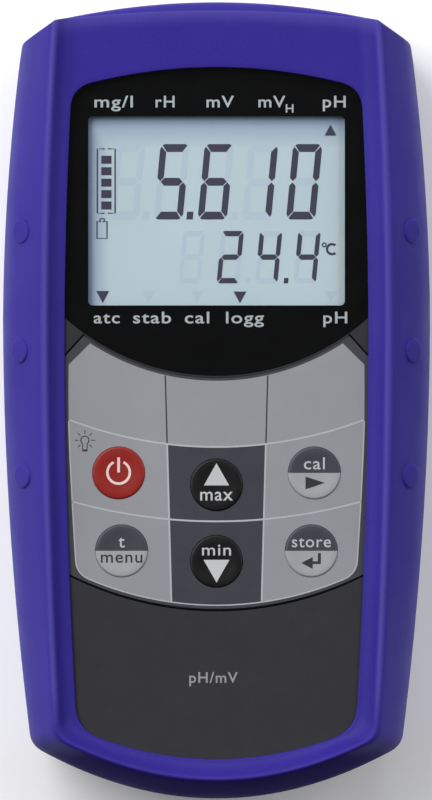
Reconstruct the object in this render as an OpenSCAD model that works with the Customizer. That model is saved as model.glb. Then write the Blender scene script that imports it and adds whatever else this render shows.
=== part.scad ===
// Handheld pH meter in a soft protective boot, lying on its back.
// Units are millimetres. +X is to the right, +Y runs to the socket end, +Z is out of the front face.
// The origin is under the middle of the overall box, on the surface that the boot's back rests on.

/* [Overall] */
// Width over the boot's bulging sides
body_w = 86; // [80:0.5:92]
// Length from the rounded foot to the hood over the sockets
body_l = 160; // [150:1:172]
// Thickness from the boot's back to its front ridge
body_h = 37; // [34:0.5:40]

/* [Boot] */
// Height of the boot's lip edge above the front face of the housing
lip_edge = 0.8; // [0.4:0.1:1.5]
// Gap between the boot and the housing inside it
boot_gap = 0.15; // [0.05:0.05:0.4]
// Radius of the six grip studs on the flanks
stud_r = 2.5; // [1.5:0.1:3.5]
// Height of the grip studs
stud_h = 0.5; // [0.2:0.1:1]

/* [Housing] */
// Height of the housing's front face
face_z = 33.5; // [31:0.5:35]
// Height of the housing's back face
back_z = 1.2; // [0.8:0.1:2]
// Height of the joint between the two shells
split_z = 17; // [14:0.5:20]
// Wall thickness of the shells
wall = 2.4; // [2:0.1:3]

/* [Display] */
// Width of the visible display area
view_w = 51.4; // [44:0.2:56]
// Height of the visible display area
view_h = 37.9; // [30:0.1:42]
// Middle of the display area along the meter
view_y = 38.1; // [34:0.05:42]
// Radius of the window's curved lower edge
window_r = 45.4; // [40:0.1:52]

/* [Keys] */
// Radius of the six round keys
key_r = 5.2; // [4:0.1:6]
// Radial running clearance round each key
key_gap = 0.1; // [0.05:0.01:0.1]
// How far the keys stand above the front face
key_proud = 0.3; // [0.1:0.05:0.8]
// Travel of each key
key_travel = 0.5; // [0.3:0.05:0.8]

/* [Sockets] */
// Radius of the bayonet socket's barrel
bnc_r = 4.85; // [4.7:0.01:4.9]
// Bore radius of the two 4 mm sockets
banana_bore_r = 2.05; // [2:0.01:2.1]
// Bore radius of the 3.5 mm data jack
jack_bore_r = 1.8; // [1.76:0.01:1.85]

/* [Power] */
// Radius of a cell
cell_r = 5.25; // [5:0.05:5.3]
// Length of a cell over its nub
cell_l = 44.5; // [43.5:0.1:44.5]

/* [Clip] */
// Width of the fold-out clip
clip_w = 18; // [14:0.5:20]
// Reach of the clip from its hinge
clip_l = 59; // [45:1:60]
// Radius of the hinge pin
pin_r = 1.2; // [0.8:0.05:1.4]

/* [Hidden] */
fine = 96;      // sides drawn on a round face
side_power = 1.9;
crisp = 5;                           // how closely the boot's top corners keep to their point
top_steps = 6;
side_steps = 10;
foot_steps = 7;
corner_steps = 4;

sx = body_w / 86;
sy = body_l / 160;

// Outlines. Each is [x_top, y_top, rise, x_mid, y_mid, x_foot, y_foot, drop, cut_top, cut_foot]. An
// outline whose top corners are chamfers goes on with the place of the chamfer's outer corner.
OUTER = [38.8*sx, 74.6*sy, 5.4*sy, 43*sx, 16, 37.3*sx, -69.25*sy, 10.75*sy, 6.5, 2.2, 39.1*sx, 71.75*sy];
BACK_EDGE = [34.7*sx, 73.8*sy, 5.7*sy, 38.5*sx, 16, 33*sx, -66*sy, 9.2*sy, 6, 2.6, 34.9*sx, 71.5*sy];
RIDGE = [32.4*sx, 76.3*sy, 1.7*sy, 34.4*sx, 17, 32*sx, -67.2*sy, 8.5*sy, 1.2, 2.2];
LIP = [29*sx, 62.6*sy, 4.2, 30.4*sx, 14, 27.9*sx, -65.7*sy, 6, 4, 4.5];
BACK_LIP = [27*sx, 66*sy, 1, 28.5*sx, 16, 25.5*sx, -61*sy, 7, 4, 4];
HOUSE = [36*sx, 69*sy, 0, 39.3*sx, 16, 33.9*sx, -67*sy, 9, 3, 4];
HOUSE_FRONT = [31.8*sx, 69*sy, 0, 34*sx, 16, 30.6*sx, -67*sy, 6.6, 2, 4];
HOUSE_BACK = [30.6*sx, 69*sy, 0, 33.1*sx, 16, 28.6*sx, -64.5*sy, 6.5, 2, 4];

end_y = HOUSE[1];
plate_t = 2.5;                       // thickness of the front plate
plate_z = face_z - plate_t;
lens_t = 1.2;
mask_t = 0.15;
foil_t = 0.5;
foil_gap = 0.1;                      // gap round the keypad foil and the lens
window_cy = 50.5;                    // middle of the window's lower arc
foil_r = 66;                         // radius of the foil's lower arc
foil_foot = -41.6;

pcb_z = 24;
pcb_t = 1.6;
pcb_top = pcb_z + pcb_t;

KEY_UP = [0, -16.8];
KEY_DOWN = [0, -32.1];
KEY_POWER = [-19.6, -14.4];
KEY_CAL = [19.6, -14.4];
KEY_MENU = [-19, -30];
KEY_STORE = [19, -30];
KEYS = [KEY_POWER, KEY_UP, KEY_CAL, KEY_MENU, KEY_DOWN, KEY_STORE];
flange_r = 6.4;
flange_t = 0.9;
stem_r = 2;
stem_z = 27;

HOUSE_SCREWS = [[29.8, 62.5], [-29.8, 62.5], [27.6, -58], [-27.6, -58]];
PCB_SCREWS = [[24, 62.9], [-24, 62.9], [21, -62], [-21, -62]];

// Socket end. The sockets stand on one line across the end panel.
socket_z = 16.5;
BNC_X = -18.5;
BANANA_X = [-1.5, 11.5];
JACK_X = 23.5;
panel_y = end_y - 0.1;               // outer face of the end panel
flange_y = end_y - wall - 0.1;       // where the panel's flange meets the shells

// Battery bay
bay_floor = 5.2;
bay_top = 15.5;
bay_w = 22.8;
bay_y0 = -62;
bay_y1 = -14;
cell_x = 5.6;
cell_z = 10.2;
door_w = 27.8;
door_y0 = -67.4;
door_y1 = -8.6;
door_z0 = back_z + 0.05;
door_t = 1.7;
DOOR_SCREWS = [-65, -11.4];

// Clip
hinge_y = 56;
hinge_z = 3.8;
clip_t = 2.4;
clip_gap = 0.3;
barrel_r = 2.3;
trough_z = hinge_z + clip_t + clip_gap;   // roof of the deep end of the clip's channel

// ---------- outlines and lofts ----------

function mix(a, b, t) = a + (b - a) * t;
function ease(t) = let (u = min(1, max(0, t))) u * u * (3 - 2 * u);
function inset(L, d, top = undef) = let (dt = is_undef(top) ? d : top)
  [L[0] - d, L[1] - dt, L[2], L[3] - d, L[4], L[5] - d, L[6] + d, L[7], L[8], L[9]];

function side_x(L, y) = y > L[4]
  ? L[3] - (L[3] - L[0]) * pow((y - L[4]) / (L[1] - L[4]), side_power)
  : L[3] - (L[3] - L[5]) * pow((L[4] - y) / (L[4] - L[6]), side_power);
function top_y(L, x) = L[1] + L[2] * (1 - pow(x / L[0], 2));
function foot_y(L, x) = L[6] - L[7] * (1 - pow(x / L[5], 2));
// From a to c round the corner b. A higher n keeps closer to the corner.
function bend(a, b, c, t, n = 2) = let (u = pow(1 - t, n), w = pow(t, n)) u * a + (1 - u - w) * b + w * c;

// Right half of an outline, from the middle of its top to the middle of its foot.
function half(L) = let (
  xa = L[0] - L[8], ya = L[1] - L[8], xb = L[5] - L[9], yb = L[6] + L[9],
  a = [xa, top_y(L, xa)], b = [side_x(L, ya), ya],
  c = [side_x(L, yb), yb], d = [xb, foot_y(L, xb)],
  chamfered = len(L) > 10, corner = chamfered ? [L[10], L[11]] : [L[0], L[1]]) concat(
  [for (i = [0 : top_steps]) let (x = xa * i / top_steps) [x, top_y(L, x)]],
  [for (i = [1 : corner_steps - 1]) bend(a, corner, b, i / corner_steps, chamfered ? crisp : 2)],
  [for (i = [0 : side_steps]) let (y = mix(ya, yb, i / side_steps)) [side_x(L, y), y]],
  [for (i = [1 : corner_steps - 1]) bend(c, [L[5], L[6]], d, i / corner_steps)],
  [for (i = [foot_steps : -1 : 0]) let (x = xb * i / foot_steps) [x, foot_y(L, x)]]);

// The whole closed outline, clockwise seen from the front.
function outline(L) = let (h = half(L), n = len(h))
  concat(h, [for (i = [n - 2 : -1 : 1]) [-h[i][0], h[i][1]]]);

function ring(L, z) = [for (p = outline(L)) [p[0], p[1], z]];

// Joins rings of equal length. A tube's last ring joins its first; otherwise a fan caps each end.
module loft(rings, tube = false) {
  m = len(rings);
  n = len(rings[0]);
  last = tube ? m - 1 : m - 2;
  walls = [for (k = [0 : last], i = [0 : n - 1])
    let (a = k * n + i, b = k * n + (i + 1) % n, c = ((k + 1) % m) * n + i,
      d = ((k + 1) % m) * n + (i + 1) % n) each [[a, b, d], [a, d, c]]];
  caps = tube ? [] : [for (i = [0 : n - 1]) each [
    [(i + 1) % n, i, m * n], [(m - 1) * n + i, (m - 1) * n + (i + 1) % n, m * n + 1]]];
  hubs = tube ? [] : [[0, 0, rings[0][0][2]], [0, 0, rings[m - 1][0][2]]];
  polyhedron(concat([for (r = rings) each r], hubs), concat(walls, caps), convexity = 8);
}

// ---------- boot ----------

ridge_z = body_h;
lip_z = face_z + boot_gap;           // underside of the lip
lip_top = face_z + lip_edge;

function share(x, y, A, B) = (abs(x) - side_x(A, y)) / (side_x(B, y) - side_x(A, y));

// The strip's rise over its width: hollow beside the lip, steep, then rounded over at the ridge.
function strip_rise(u) = u < 0.75 ? 1.97 * u * u / 1.5 : 0.739 + 1.97 * (u - 0.75) - 3.7 * pow(u - 0.75, 2);

// Height of the boot's front, t of the way from lip to ridge. Over the sockets there is no ridge, only
// a slightly crowned hood between the two side ridges.
function front_z(x, y, t) = let (
  u = min(1, max(0, y < 0 ? t : share(x, y, LIP, RIDGE))),
  low = lip_top + 0.5 * t * ease((y - 60) / 8)) mix(low, ridge_z, strip_rise(u));

// 1 where the edge of the front is the ridge, 0 where it is the hood's mouth.
function ridged(x, y) = y < RIDGE[1] ? 1 : ease((abs(x) - 28.5) / 2.6);

function front_ring(t) = let (a = outline(LIP), b = outline(RIDGE))
  [for (i = [0 : len(a) - 1]) let (p = mix(a[i], b[i], t)) [p[0], p[1], front_z(p[0], p[1], t)]];

// Fall of the outside below its top, against the share of the way out: on a side, then at the mouth.
SIDE_FALL = [[0, 0], [0.1, 0.25], [0.22, 1.2], [0.4, 3], [0.6, 5.2], [0.8, 8],
  [0.92, 11], [0.98, 14], [1, 17]];
MOUTH_FALL = [[0, 0], [0.4, 0.25], [0.6, 0.6], [0.8, 1.2], [0.92, 2.2], [0.98, 4]];
function flank_ring(s) = let (a = outline(RIDGE), b = outline(OUTER))
  [for (i = [0 : len(a) - 1]) let (p = mix(a[i], b[i], s), r = ridged(a[i][0], a[i][1]),
    u = min(1, max(0, p[1] < 0 ? s : share(p[0], p[1], RIDGE, OUTER))),
    edge = p[1] < 0 ? 0 : 0.6 * pow(max(0, s - 0.8) / 0.2, 2))
    [p[0], p[1], front_z(a[i][0], a[i][1], 1) - mix(lookup(s, MOUTH_FALL), lookup(u, SIDE_FALL) + edge, r)]];

// Housing cross-section: height and share of the way to the front or back outline.
FRONT_STATIONS = [[22, 0.04], [27, 0.2], [31, 0.6]];
BACK_STATIONS = [[10, 0.06], [5, 0.35], [2.4, 0.72]];
BOOT_BACK = [[11, 0.06], [5, 0.3], [1.8, 0.62], [0.4, 0.88], [0, 1]];

module grip_stud(side, y) {
  tilt = 49;
  sink = 1.5;
  x = mix(side_x(RIDGE, y), side_x(OUTER, y), 0.58);
  translate([side * x, y, ridge_z - 5])
    rotate([0, side * tilt, 0]) translate([0, 0, -sink])
      cylinder(r1 = stud_r, r2 = stud_r - 0.3, h = sink + stud_h, $fn = fine);
}

bay_half = 32.5;
bay_z0 = 5;
bay_z1 = 31.3;
bay_corner = 4;

// Rounded rectangle with square-on corners at (x0, y0) and (x1, y1).
module rounded(x0, y0, x1, y1, r) {
  translate([x0 + r, y0]) square([x1 - x0 - 2 * r, y1 - y0]);
  translate([x0, y0 + r]) square([x1 - x0, y1 - y0 - 2 * r]);
  for (x = [x0 + r, x1 - r], y = [y0 + r, y1 - r]) translate([x, y]) circle(r, $fn = fine);
}

// Turns a drawing in X and Z into a solid from y0 to y1.
module along_y(y0, y1) {
  translate([0, y1, 0]) rotate([90, 0, 0]) linear_extrude(y1 - y0) children();
}

module boot() color([0.24, 0.2, 0.58]) {
  difference() {
    loft(concat(
      [ring(inset(HOUSE_FRONT, -boot_gap), lip_z)],
      [for (i = [2 : -1 : 0]) let (s = FRONT_STATIONS[i])
        ring(inset(mix(HOUSE, HOUSE_FRONT, s[1]), -boot_gap), s[0])],
      [ring(inset(HOUSE, -boot_gap), split_z)],
      [for (s = BACK_STATIONS) ring(inset(mix(HOUSE, HOUSE_BACK, s[1]), -boot_gap), s[0])],
      [ring(inset(HOUSE_BACK, -boot_gap), back_z - boot_gap)],
      [ring(BACK_LIP, back_z - boot_gap), ring(BACK_LIP, 0)],
      [for (i = [4 : -1 : 0]) let (s = BOOT_BACK[i]) ring(mix(OUTER, BACK_EDGE, s[1]), s[0])],
      [ring(OUTER, 18.5)],
      [for (s = [0.98, 0.92, 0.8, 0.6, 0.4, 0.22, 0.1]) flank_ring(s)],
      [for (t = [1, 0.9, 0.75, 0.5, 0.25, 0]) front_ring(t)],
      [ring(LIP, lip_z)]), tube = true);
    // bay round the sockets, open at the top end
    along_y(end_y - 1, body_l) rounded(-bay_half, bay_z0, bay_half, bay_z1, bay_corner);
    // channel that lets the clip swing right over
    translate([-clip_w / 2 - 2 * clip_gap, hinge_y + 4, -1])
      cube([clip_w + 4 * clip_gap, body_l, bay_z0 + 2]);
  }
  for (side = [-1, 1], y = [34, 10, -15]) grip_stud(side, y);
}

// ---------- housing ----------

module window_outline(g) {
  intersection() {
    polygon(outline(inset(LIP, -0.8 - g)));
    union() {
      translate([0, window_cy]) circle(window_r + g, $fn = 2 * fine);
      translate([-body_w / 2, window_cy - 20]) square([body_w, 60]);
    }
  }
}

module foil_outline(g) {
  chamfer_x = 30.3;
  chamfer_y = 9.2;
  run = 6;
  difference() {
    intersection() {
      translate([0, foil_foot + foil_r]) circle(foil_r + g, $fn = 2 * fine);
      polygon([[-31 - g, -60], [31 + g, -60], [31 + g, chamfer_y - 0.7 + g],
        [chamfer_x + g, chamfer_y + g], [chamfer_x - run + g, chamfer_y + 1.05 * run + g],
        [-chamfer_x + run - g, chamfer_y + 1.05 * run + g], [-chamfer_x - g, chamfer_y + g],
        [-31 - g, chamfer_y - 0.7 + g]]);
    }
    translate([0, window_cy]) circle(window_r + 0.5 - g, $fn = 2 * fine);
  }
}

// The end panel's place in the end wall.
module panel_slot(g) {
  rounded(-30 - g, 7 - g, 30 + g, 28 + g, 3);
}

module front_shell() color([0.2, 0.2, 0.22]) {
  boss_r = 3;
  pcb_boss_r = 2.3;
  difference() {
    union() {
      difference() {
        loft(concat([ring(HOUSE, split_z + 0.05)],
          [for (s = FRONT_STATIONS) ring(mix(HOUSE, HOUSE_FRONT, s[1]), s[0])],
          [ring(HOUSE_FRONT, face_z)]));
        loft([ring(inset(HOUSE, wall), split_z - 1),
          ring(inset(mix(HOUSE, HOUSE_FRONT, 0.15), wall), 26),
          ring(inset(mix(HOUSE, HOUSE_FRONT, 0.6), wall), plate_z)]);
      }
      for (p = HOUSE_SCREWS) translate([p[0], p[1], split_z + 0.05])
        cylinder(r = boss_r, h = plate_z - split_z, $fn = fine);
      for (p = PCB_SCREWS) translate([p[0], p[1], pcb_top + 0.1])
        cylinder(r = pcb_boss_r, h = plate_z - pcb_top, $fn = fine);
    }
    translate([0, 0, face_z - lens_t - mask_t - 0.15]) linear_extrude(5) window_outline(foil_gap);
    translate([0, 0, face_z - foil_t - 0.05]) linear_extrude(5) foil_outline(foil_gap);
    translate([-view_w / 2 - 1, view_y - view_h / 2 - 1, plate_z - 1])
      cube([view_w + 2, view_h + 2, plate_t + 2]);
    for (k = KEYS) translate([k[0], k[1], plate_z - 1])
      cylinder(r = key_r + key_gap, h = plate_t + 2, $fn = fine);
    along_y(end_y - wall - 1, end_y + 1) panel_slot(0);
    for (p = HOUSE_SCREWS) translate([p[0], p[1], split_z - 1])
      cylinder(r = 1.3, h = 11, $fn = fine);
    for (p = PCB_SCREWS) translate([p[0], p[1], pcb_z])
      cylinder(r = 1.1, h = 5.6, $fn = fine);
  }
}

module rear_shell() color([0.2, 0.2, 0.22]) {
  post_r = 3;
  head_r = 2.5;
  trough_w = clip_w / 2 + 3.2;
  difference() {
    union() {
      difference() {
        loft(concat([ring(HOUSE_BACK, back_z)],
          [for (i = [2 : -1 : 0]) let (s = BACK_STATIONS[i])
            ring(mix(HOUSE, HOUSE_BACK, s[1]), s[0])],
          [ring(HOUSE, split_z - 0.05)]));
        loft([ring(inset(HOUSE_BACK, wall - 1), 3.8),
          ring(inset(mix(HOUSE, HOUSE_BACK, 0.06), wall), 10),
          ring(inset(HOUSE, wall), split_z + 1)]);
        along_y(end_y - wall - 1, end_y + 1) panel_slot(0);
      }
      for (p = HOUSE_SCREWS) translate([p[0], p[1], 3.5])
        cylinder(r = post_r, h = split_z - 3.55, $fn = fine);
      // walls of the battery bay and the pad round its door
      translate([-bay_w / 2 - 1.3, bay_y0 - 1.3, 3.5])
        cube([bay_w + 2.6, bay_y1 - bay_y0 + 2.6, bay_top + 1.2 - 3.5]);
      translate([-15.5, -68.5, 3.5]) cube([31, 62, bay_floor - 3.5]);
      for (y = DOOR_SCREWS) translate([0, y, 4]) cylinder(r = 2.8, h = 5.5, $fn = fine);
      // trough that takes the clip
      translate([-trough_w, -5.5, 3.5]) cube([2 * trough_w, end_y - wall + 4, 2.8]);
      translate([-trough_w, hinge_y - 6, 3.5])
        cube([2 * trough_w, end_y - hinge_y + 6, trough_z + 1.7 - 3.5]);
    }
    for (p = HOUSE_SCREWS) translate([p[0], p[1], 0]) {
      cylinder(r = head_r, h = 4.4, $fn = fine);
      cylinder(r = 1.6, h = split_z + 1, $fn = fine);
    }
    // battery bay, open at the back, and the seat of its door
    translate([-bay_w / 2, bay_y0, 0]) cube([bay_w, bay_y1 - bay_y0, bay_top]);
    translate([-door_w / 2 - 0.15, door_y0 - 0.15, 0])
      cube([door_w + 0.3, door_y1 - door_y0 + 0.3, door_z0 + door_t + 0.1]);
    for (y = DOOR_SCREWS) translate([0, y, 2]) cylinder(r = 1.3, h = 6.6, $fn = fine);
    // clip recess, its deep end and the two finger scoops
    translate([-clip_w / 2 - clip_gap, hinge_y - clip_l - 1, 0])
      cube([clip_w + 2 * clip_gap, clip_l + 2, hinge_z + 0.8]);
    translate([-clip_w / 2 - clip_gap, hinge_y - 4, 0])
      cube([clip_w + 2 * clip_gap, 20, trough_z]);
    translate([-13.5, 1, 0]) cube([27, 10, 3.2]);
    translate([0, hinge_y, hinge_z]) rotate([0, 90, 0])
      cylinder(r = pin_r + 0.02, h = clip_w + 5.4, center = true, $fn = fine);
    // seal groove in the joint face
    translate([0, 0, split_z - 1.25]) linear_extrude(2) difference() {
      polygon(outline(inset(HOUSE, 0.6)));
      polygon(outline(inset(HOUSE, 1.7)));
    }
    // seat of the rating plate
    translate([13, 14, 0]) cube([13.2, 34.2, back_z + 0.35]);
  }
}

module shell_gasket() color([0.05, 0.05, 0.05])
  translate([0, 0, split_z - 1.2]) linear_extrude(1.2) difference() {
    polygon(outline(inset(HOUSE, 0.7)));
    polygon(outline(inset(HOUSE, 1.6)));
    translate([-31.5, end_y - 4]) square([63, 6]);
  }

module display_window() color([0.85, 0.9, 0.95, 0.35])
  translate([0, 0, face_z - lens_t]) linear_extrude(lens_t) window_outline(0);

module window_mask() color([0.02, 0.02, 0.02])
  translate([0, 0, face_z - lens_t - mask_t - 0.05]) linear_extrude(mask_t) difference() {
    window_outline(0);
    rounded(-view_w / 2, view_y - view_h / 2, view_w / 2, view_y + view_h / 2, 0.9);
  }

module keypad_foil() color([0.57, 0.57, 0.6])
  translate([0, 0, face_z - foil_t]) linear_extrude(foil_t) difference() {
    foil_outline(0);
    for (k = KEYS) translate(k) circle(key_r + key_gap, $fn = fine);
  }

// ---------- keys ----------

module key(at, tint) color(tint) translate([at[0], at[1], 0]) {
  top = face_z + key_proud;
  edge = 0.25;
  dish_r = 45;
  difference() {
    union() {
      translate([0, 0, plate_z - 0.2]) cylinder(r = key_r, h = top - edge - plate_z + 0.2, $fn = fine);
      translate([0, 0, top - edge]) cylinder(r1 = key_r, r2 = key_r - edge, h = edge, $fn = fine);
      translate([0, 0, plate_z - 0.1 - flange_t]) cylinder(r = flange_r, h = flange_t, $fn = fine);
      translate([0, 0, stem_z]) cylinder(r = stem_r, h = plate_z - stem_z - flange_t, $fn = fine);
    }
    translate([0, 0, top + dish_r - 0.18]) sphere(dish_r, $fn = 2 * fine);
  }
}

module key_power() key(KEY_POWER, [0.6, 0.12, 0.1]);
module key_up() key(KEY_UP, [0.1, 0.1, 0.11]);
module key_cal() key(KEY_CAL, [0.35, 0.35, 0.4]);
module key_menu() key(KEY_MENU, [0.35, 0.35, 0.4]);
module key_down() key(KEY_DOWN, [0.1, 0.1, 0.11]);
module key_store() key(KEY_STORE, [0.35, 0.35, 0.4]);

module dome_sheet() color([0.8, 0.78, 0.6])
  difference() {
    translate([-26, -38.5, pcb_top + 0.05]) cube([52, 31, 0.15]);
    for (k = KEYS) translate([k[0], k[1], pcb_top]) cylinder(r = 4.4, h = 1, $fn = fine);
  }

module snap_domes() color([0.8, 0.8, 0.8])
  for (k = KEYS) translate([k[0], k[1], pcb_top + 0.05]) difference() {
    cylinder(r1 = 4.2, r2 = 1.6, h = 0.75, $fn = fine);
    translate([0, 0, -0.01]) cylinder(r1 = 3.9, r2 = 1.3, h = 0.6, $fn = fine);
  }

// ---------- display stack and circuit board ----------

glass_z = 28.6;
glass_t = 2.2;

module lcd_glass() color([0.7, 0.77, 0.8])
  translate([-26.9, 15.6, glass_z]) cube([53.8, 44.6, glass_t]);

module lcd_frame() color([0.15, 0.15, 0.15])
  difference() {
    translate([-27.3, 15, pcb_top + 0.05]) cube([54.6, 45.4, glass_z - pcb_top - 0.15]);
    translate([-24.8, 18, pcb_z]) cube([49.6, 39.8, 6]);
    for (y = [15.6, 58.3]) translate([-24, y, pcb_z]) cube([48, 1.7, 6]);
  }

module backlight_panel() color([0.9, 0.92, 0.95])
  translate([-24.7, 18.1, pcb_top + 0.3]) cube([49.4, 39.6, 2.4]);

module zebra_strips() color([0.9, 0.5, 0.6])
  for (y = [15.7, 58.4]) translate([-23.9, y, pcb_top + 0.05])
    cube([47.8, 1.5, glass_z - pcb_top - 0.1]);

module main_pcb() color([0.1, 0.35, 0.2])
  difference() {
    translate([-27.5, -65.5, pcb_z]) cube([55, 130.6, pcb_t]);
    for (p = HOUSE_SCREWS) translate([p[0], p[1], pcb_z - 1]) cylinder(r = 3.5, h = 4, $fn = fine);
    for (p = PCB_SCREWS) translate([p[0], p[1], pcb_z - 1]) cylinder(r = 1.3, h = 4, $fn = fine);
  }

module pcb_chips() color([0.08, 0.08, 0.09]) {
  // controller, input amplifier, memory, display driver, clock crystal, smoothing capacitors
  translate([-6, 20, pcb_z - 1.55]) cube([12, 12, 1.5]);
  translate([-22, 44, pcb_z - 1.75]) cube([5, 6, 1.7]);
  translate([10, 22, pcb_z - 1.75]) cube([5, 6, 1.7]);
  translate([-20, 22, pcb_z - 1.25]) cube([10, 7, 1.2]);
  translate([9, 34, pcb_z - 3.55]) cube([11, 4, 3.5]);
  for (x = [-14, -6]) translate([x, 40, pcb_z - 5.5]) cylinder(r = 2.5, h = 5.4, $fn = fine);
}

module pcb_screws() color([0.75, 0.75, 0.77])
  for (p = PCB_SCREWS) translate([p[0], p[1], 0]) difference() {
    union() {
      translate([0, 0, pcb_z - 1.55]) cylinder(r = 2, h = 1.5, $fn = fine);
      translate([0, 0, pcb_z - 0.2]) cylinder(r = 1, h = 5, $fn = fine);
    }
    translate([0, 0, pcb_z - 2]) cylinder(r = 0.9, h = 1.3, $fn = 6);
  }

module buzzer() color([0.1, 0.1, 0.1])
  translate([14, 8, pcb_z - 4.05]) difference() {
    cylinder(r = 6, h = 4, $fn = fine);
    translate([0, 0, -0.1]) cylinder(r = 0.9, h = 2.1, $fn = fine);
  }

// ---------- socket end ----------

// Stands children on the socket line at x, with their Z axis along +Y from y.
module socket_at(x, y) {
  translate([x, y, socket_z]) rotate([-90, 0, 0]) children();
}

shank_r = 4.7;
collar_shank_r = 3.9;

module end_panel() color([0.16, 0.16, 0.18])
  difference() {
    union() {
      along_y(flange_y - 1, flange_y) rounded(-31.2, 5.9, 31.2, 29.1, 3);
      along_y(flange_y - 0.1, panel_y) panel_slot(-0.1);
    }
    socket_at(BNC_X, end_y - 5) cylinder(r = shank_r + 0.1, h = 8, $fn = fine);
    for (x = BANANA_X) socket_at(x, end_y - 5) cylinder(r = collar_shank_r + 0.1, h = 8, $fn = fine);
    socket_at(JACK_X, end_y - 5) cylinder(r = 3.1, h = 8, $fn = fine);
    // the clip's channel and the trough round it pass under the panel
    translate([-13, end_y - 5, 0]) cube([26, 8, trough_z + 2]);
  }

module bnc_barrel() color([0.75, 0.75, 0.76]) {
  barrel = 9;
  socket_at(BNC_X, panel_y + 0.05) difference() {
    union() {
      cylinder(r = bnc_r, h = barrel, $fn = fine);
      cylinder(r = 7.2, h = 2, $fn = 6);
      cylinder(r = 5.9, h = 2.4, $fn = fine);
      translate([0, 0, -8]) cylinder(r = shank_r, h = 9, $fn = fine);
      translate([0, 0, 5.4]) rotate([90, 0, 0]) cylinder(r = 0.95, h = 11, center = true, $fn = fine);
    }
    translate([0, 0, 1]) cylinder(r = 4.05, h = barrel, $fn = fine);
    translate([0, 0, -9]) cylinder(r = 3.1, h = barrel + 9, $fn = fine);
  }
}

module bnc_insulator() color([0.93, 0.93, 0.9])
  socket_at(BNC_X, panel_y + 0.05) difference() {
    union() {
      translate([0, 0, -8.8]) cylinder(r = 3.05, h = 10, $fn = fine);
      translate([0, 0, 1.05]) cylinder(r = 2.4, h = 5.2, $fn = fine);
    }
    translate([0, 0, -10]) cylinder(r = 1.12, h = 20, $fn = fine);
  }

module bnc_contact() color([0.85, 0.7, 0.35])
  socket_at(BNC_X, panel_y + 0.05) difference() {
    translate([0, 0, -11]) cylinder(r = 1.08, h = 17, $fn = fine);
    translate([0, 0, 1]) cylinder(r = 0.5, h = 6, $fn = fine);
  }

module bnc_nut() color([0.75, 0.75, 0.76])
  socket_at(BNC_X, flange_y - 3.6) difference() {
    cylinder(r = 7, h = 2.5, $fn = 6);
    translate([0, 0, -1]) cylinder(r = shank_r + 0.03, h = 5, $fn = fine);
  }

module banana_collar(x, tint) color(tint)
  socket_at(x, panel_y + 0.05) difference() {
    union() {
      cylinder(r = 5.8, h = 1.6, $fn = fine);
      cylinder(r = 5, h = 7, $fn = fine);
      translate([0, 0, -7.2]) cylinder(r = collar_shank_r, h = 8, $fn = fine);
    }
    translate([0, 0, -8]) cylinder(r = 3.03, h = 20, $fn = fine);
  }
module banana_collar_a() banana_collar(BANANA_X[0], [0.65, 0.08, 0.07]);
module banana_collar_b() banana_collar(BANANA_X[1], [0.06, 0.06, 0.07]);

module banana_sleeve(x) color([0.78, 0.72, 0.5])
  socket_at(x, panel_y + 0.05) difference() {
    translate([0, 0, -9.5]) cylinder(r = 3, h = 15.9, $fn = fine);
    translate([0, 0, -7]) cylinder(r = banana_bore_r, h = 20, $fn = fine);
  }
module banana_sleeve_a() banana_sleeve(BANANA_X[0]);
module banana_sleeve_b() banana_sleeve(BANANA_X[1]);

module banana_nuts() color([0.75, 0.75, 0.76])
  for (x = BANANA_X) socket_at(x, flange_y - 3.2) difference() {
    cylinder(r = 6, h = 2.1, $fn = 6);
    translate([0, 0, -1]) cylinder(r = collar_shank_r + 0.03, h = 5, $fn = fine);
  }

module jack_bushing() color([0.75, 0.75, 0.76])
  socket_at(JACK_X, panel_y + 0.05) difference() {
    union() {
      cylinder(r = 4.4, h = 1.2, $fn = fine);
      cylinder(r = 3.4, h = 3, $fn = fine);
      translate([0, 0, -3.4]) cylinder(r = 3, h = 4, $fn = fine);
    }
    translate([0, 0, -4]) cylinder(r = jack_bore_r, h = 10, $fn = fine);
  }

module jack_body() color([0.08, 0.08, 0.08])
  difference() {
    translate([JACK_X - 3.2, flange_y - 12.5, socket_z - 4]) cube([6.4, 11.4, 8]);
    socket_at(JACK_X, flange_y - 11) cylinder(r = jack_bore_r, h = 20, $fn = fine);
  }

// ---------- power ----------

// A cell along Y between the bay's ends. way is +1 with the nub at the top end.
module cell(x, way, tint) color(tint) {
  nub = 0.8;
  mid = (bay_y0 + bay_y1) / 2 + way * 0.9;
  translate([x, mid - way * cell_l / 2, cell_z]) rotate([-90 * way, 0, 0]) {
    cylinder(r = cell_r, h = cell_l - nub, $fn = fine);
    translate([0, 0, cell_l - nub - 0.01]) cylinder(r = 1.9, h = nub + 0.01, $fn = fine);
  }
}
module cell_left() cell(-cell_x, 1, [0.75, 0.6, 0.3]);
module cell_right() cell(cell_x, -1, [0.75, 0.6, 0.3]);

// One contact plate at each end of each cell, with a coiled spring on the flat end's plate.
module cell_contacts() color([0.8, 0.8, 0.82]) {
  t = 0.3;
  wire = 0.32;
  for (end = [-1, 1], x = [-cell_x, cell_x]) {
    y = end < 0 ? bay_y0 + 0.05 : bay_y1 - 0.05 - t;
    translate([x - 4.5, y, cell_z - 4]) cube([9, t, 8]);
    if (end * x > 0) for (turn = [0 : 2])
      translate([x, (end < 0 ? bay_y0 : bay_y1) - end * (0.25 + wire + turn * 0.5), cell_z])
        rotate([90, 0, 0]) rotate_extrude($fn = fine) translate([3.2 - turn * 0.35, 0]) circle(wire, $fn = 24);
  }
}

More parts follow.
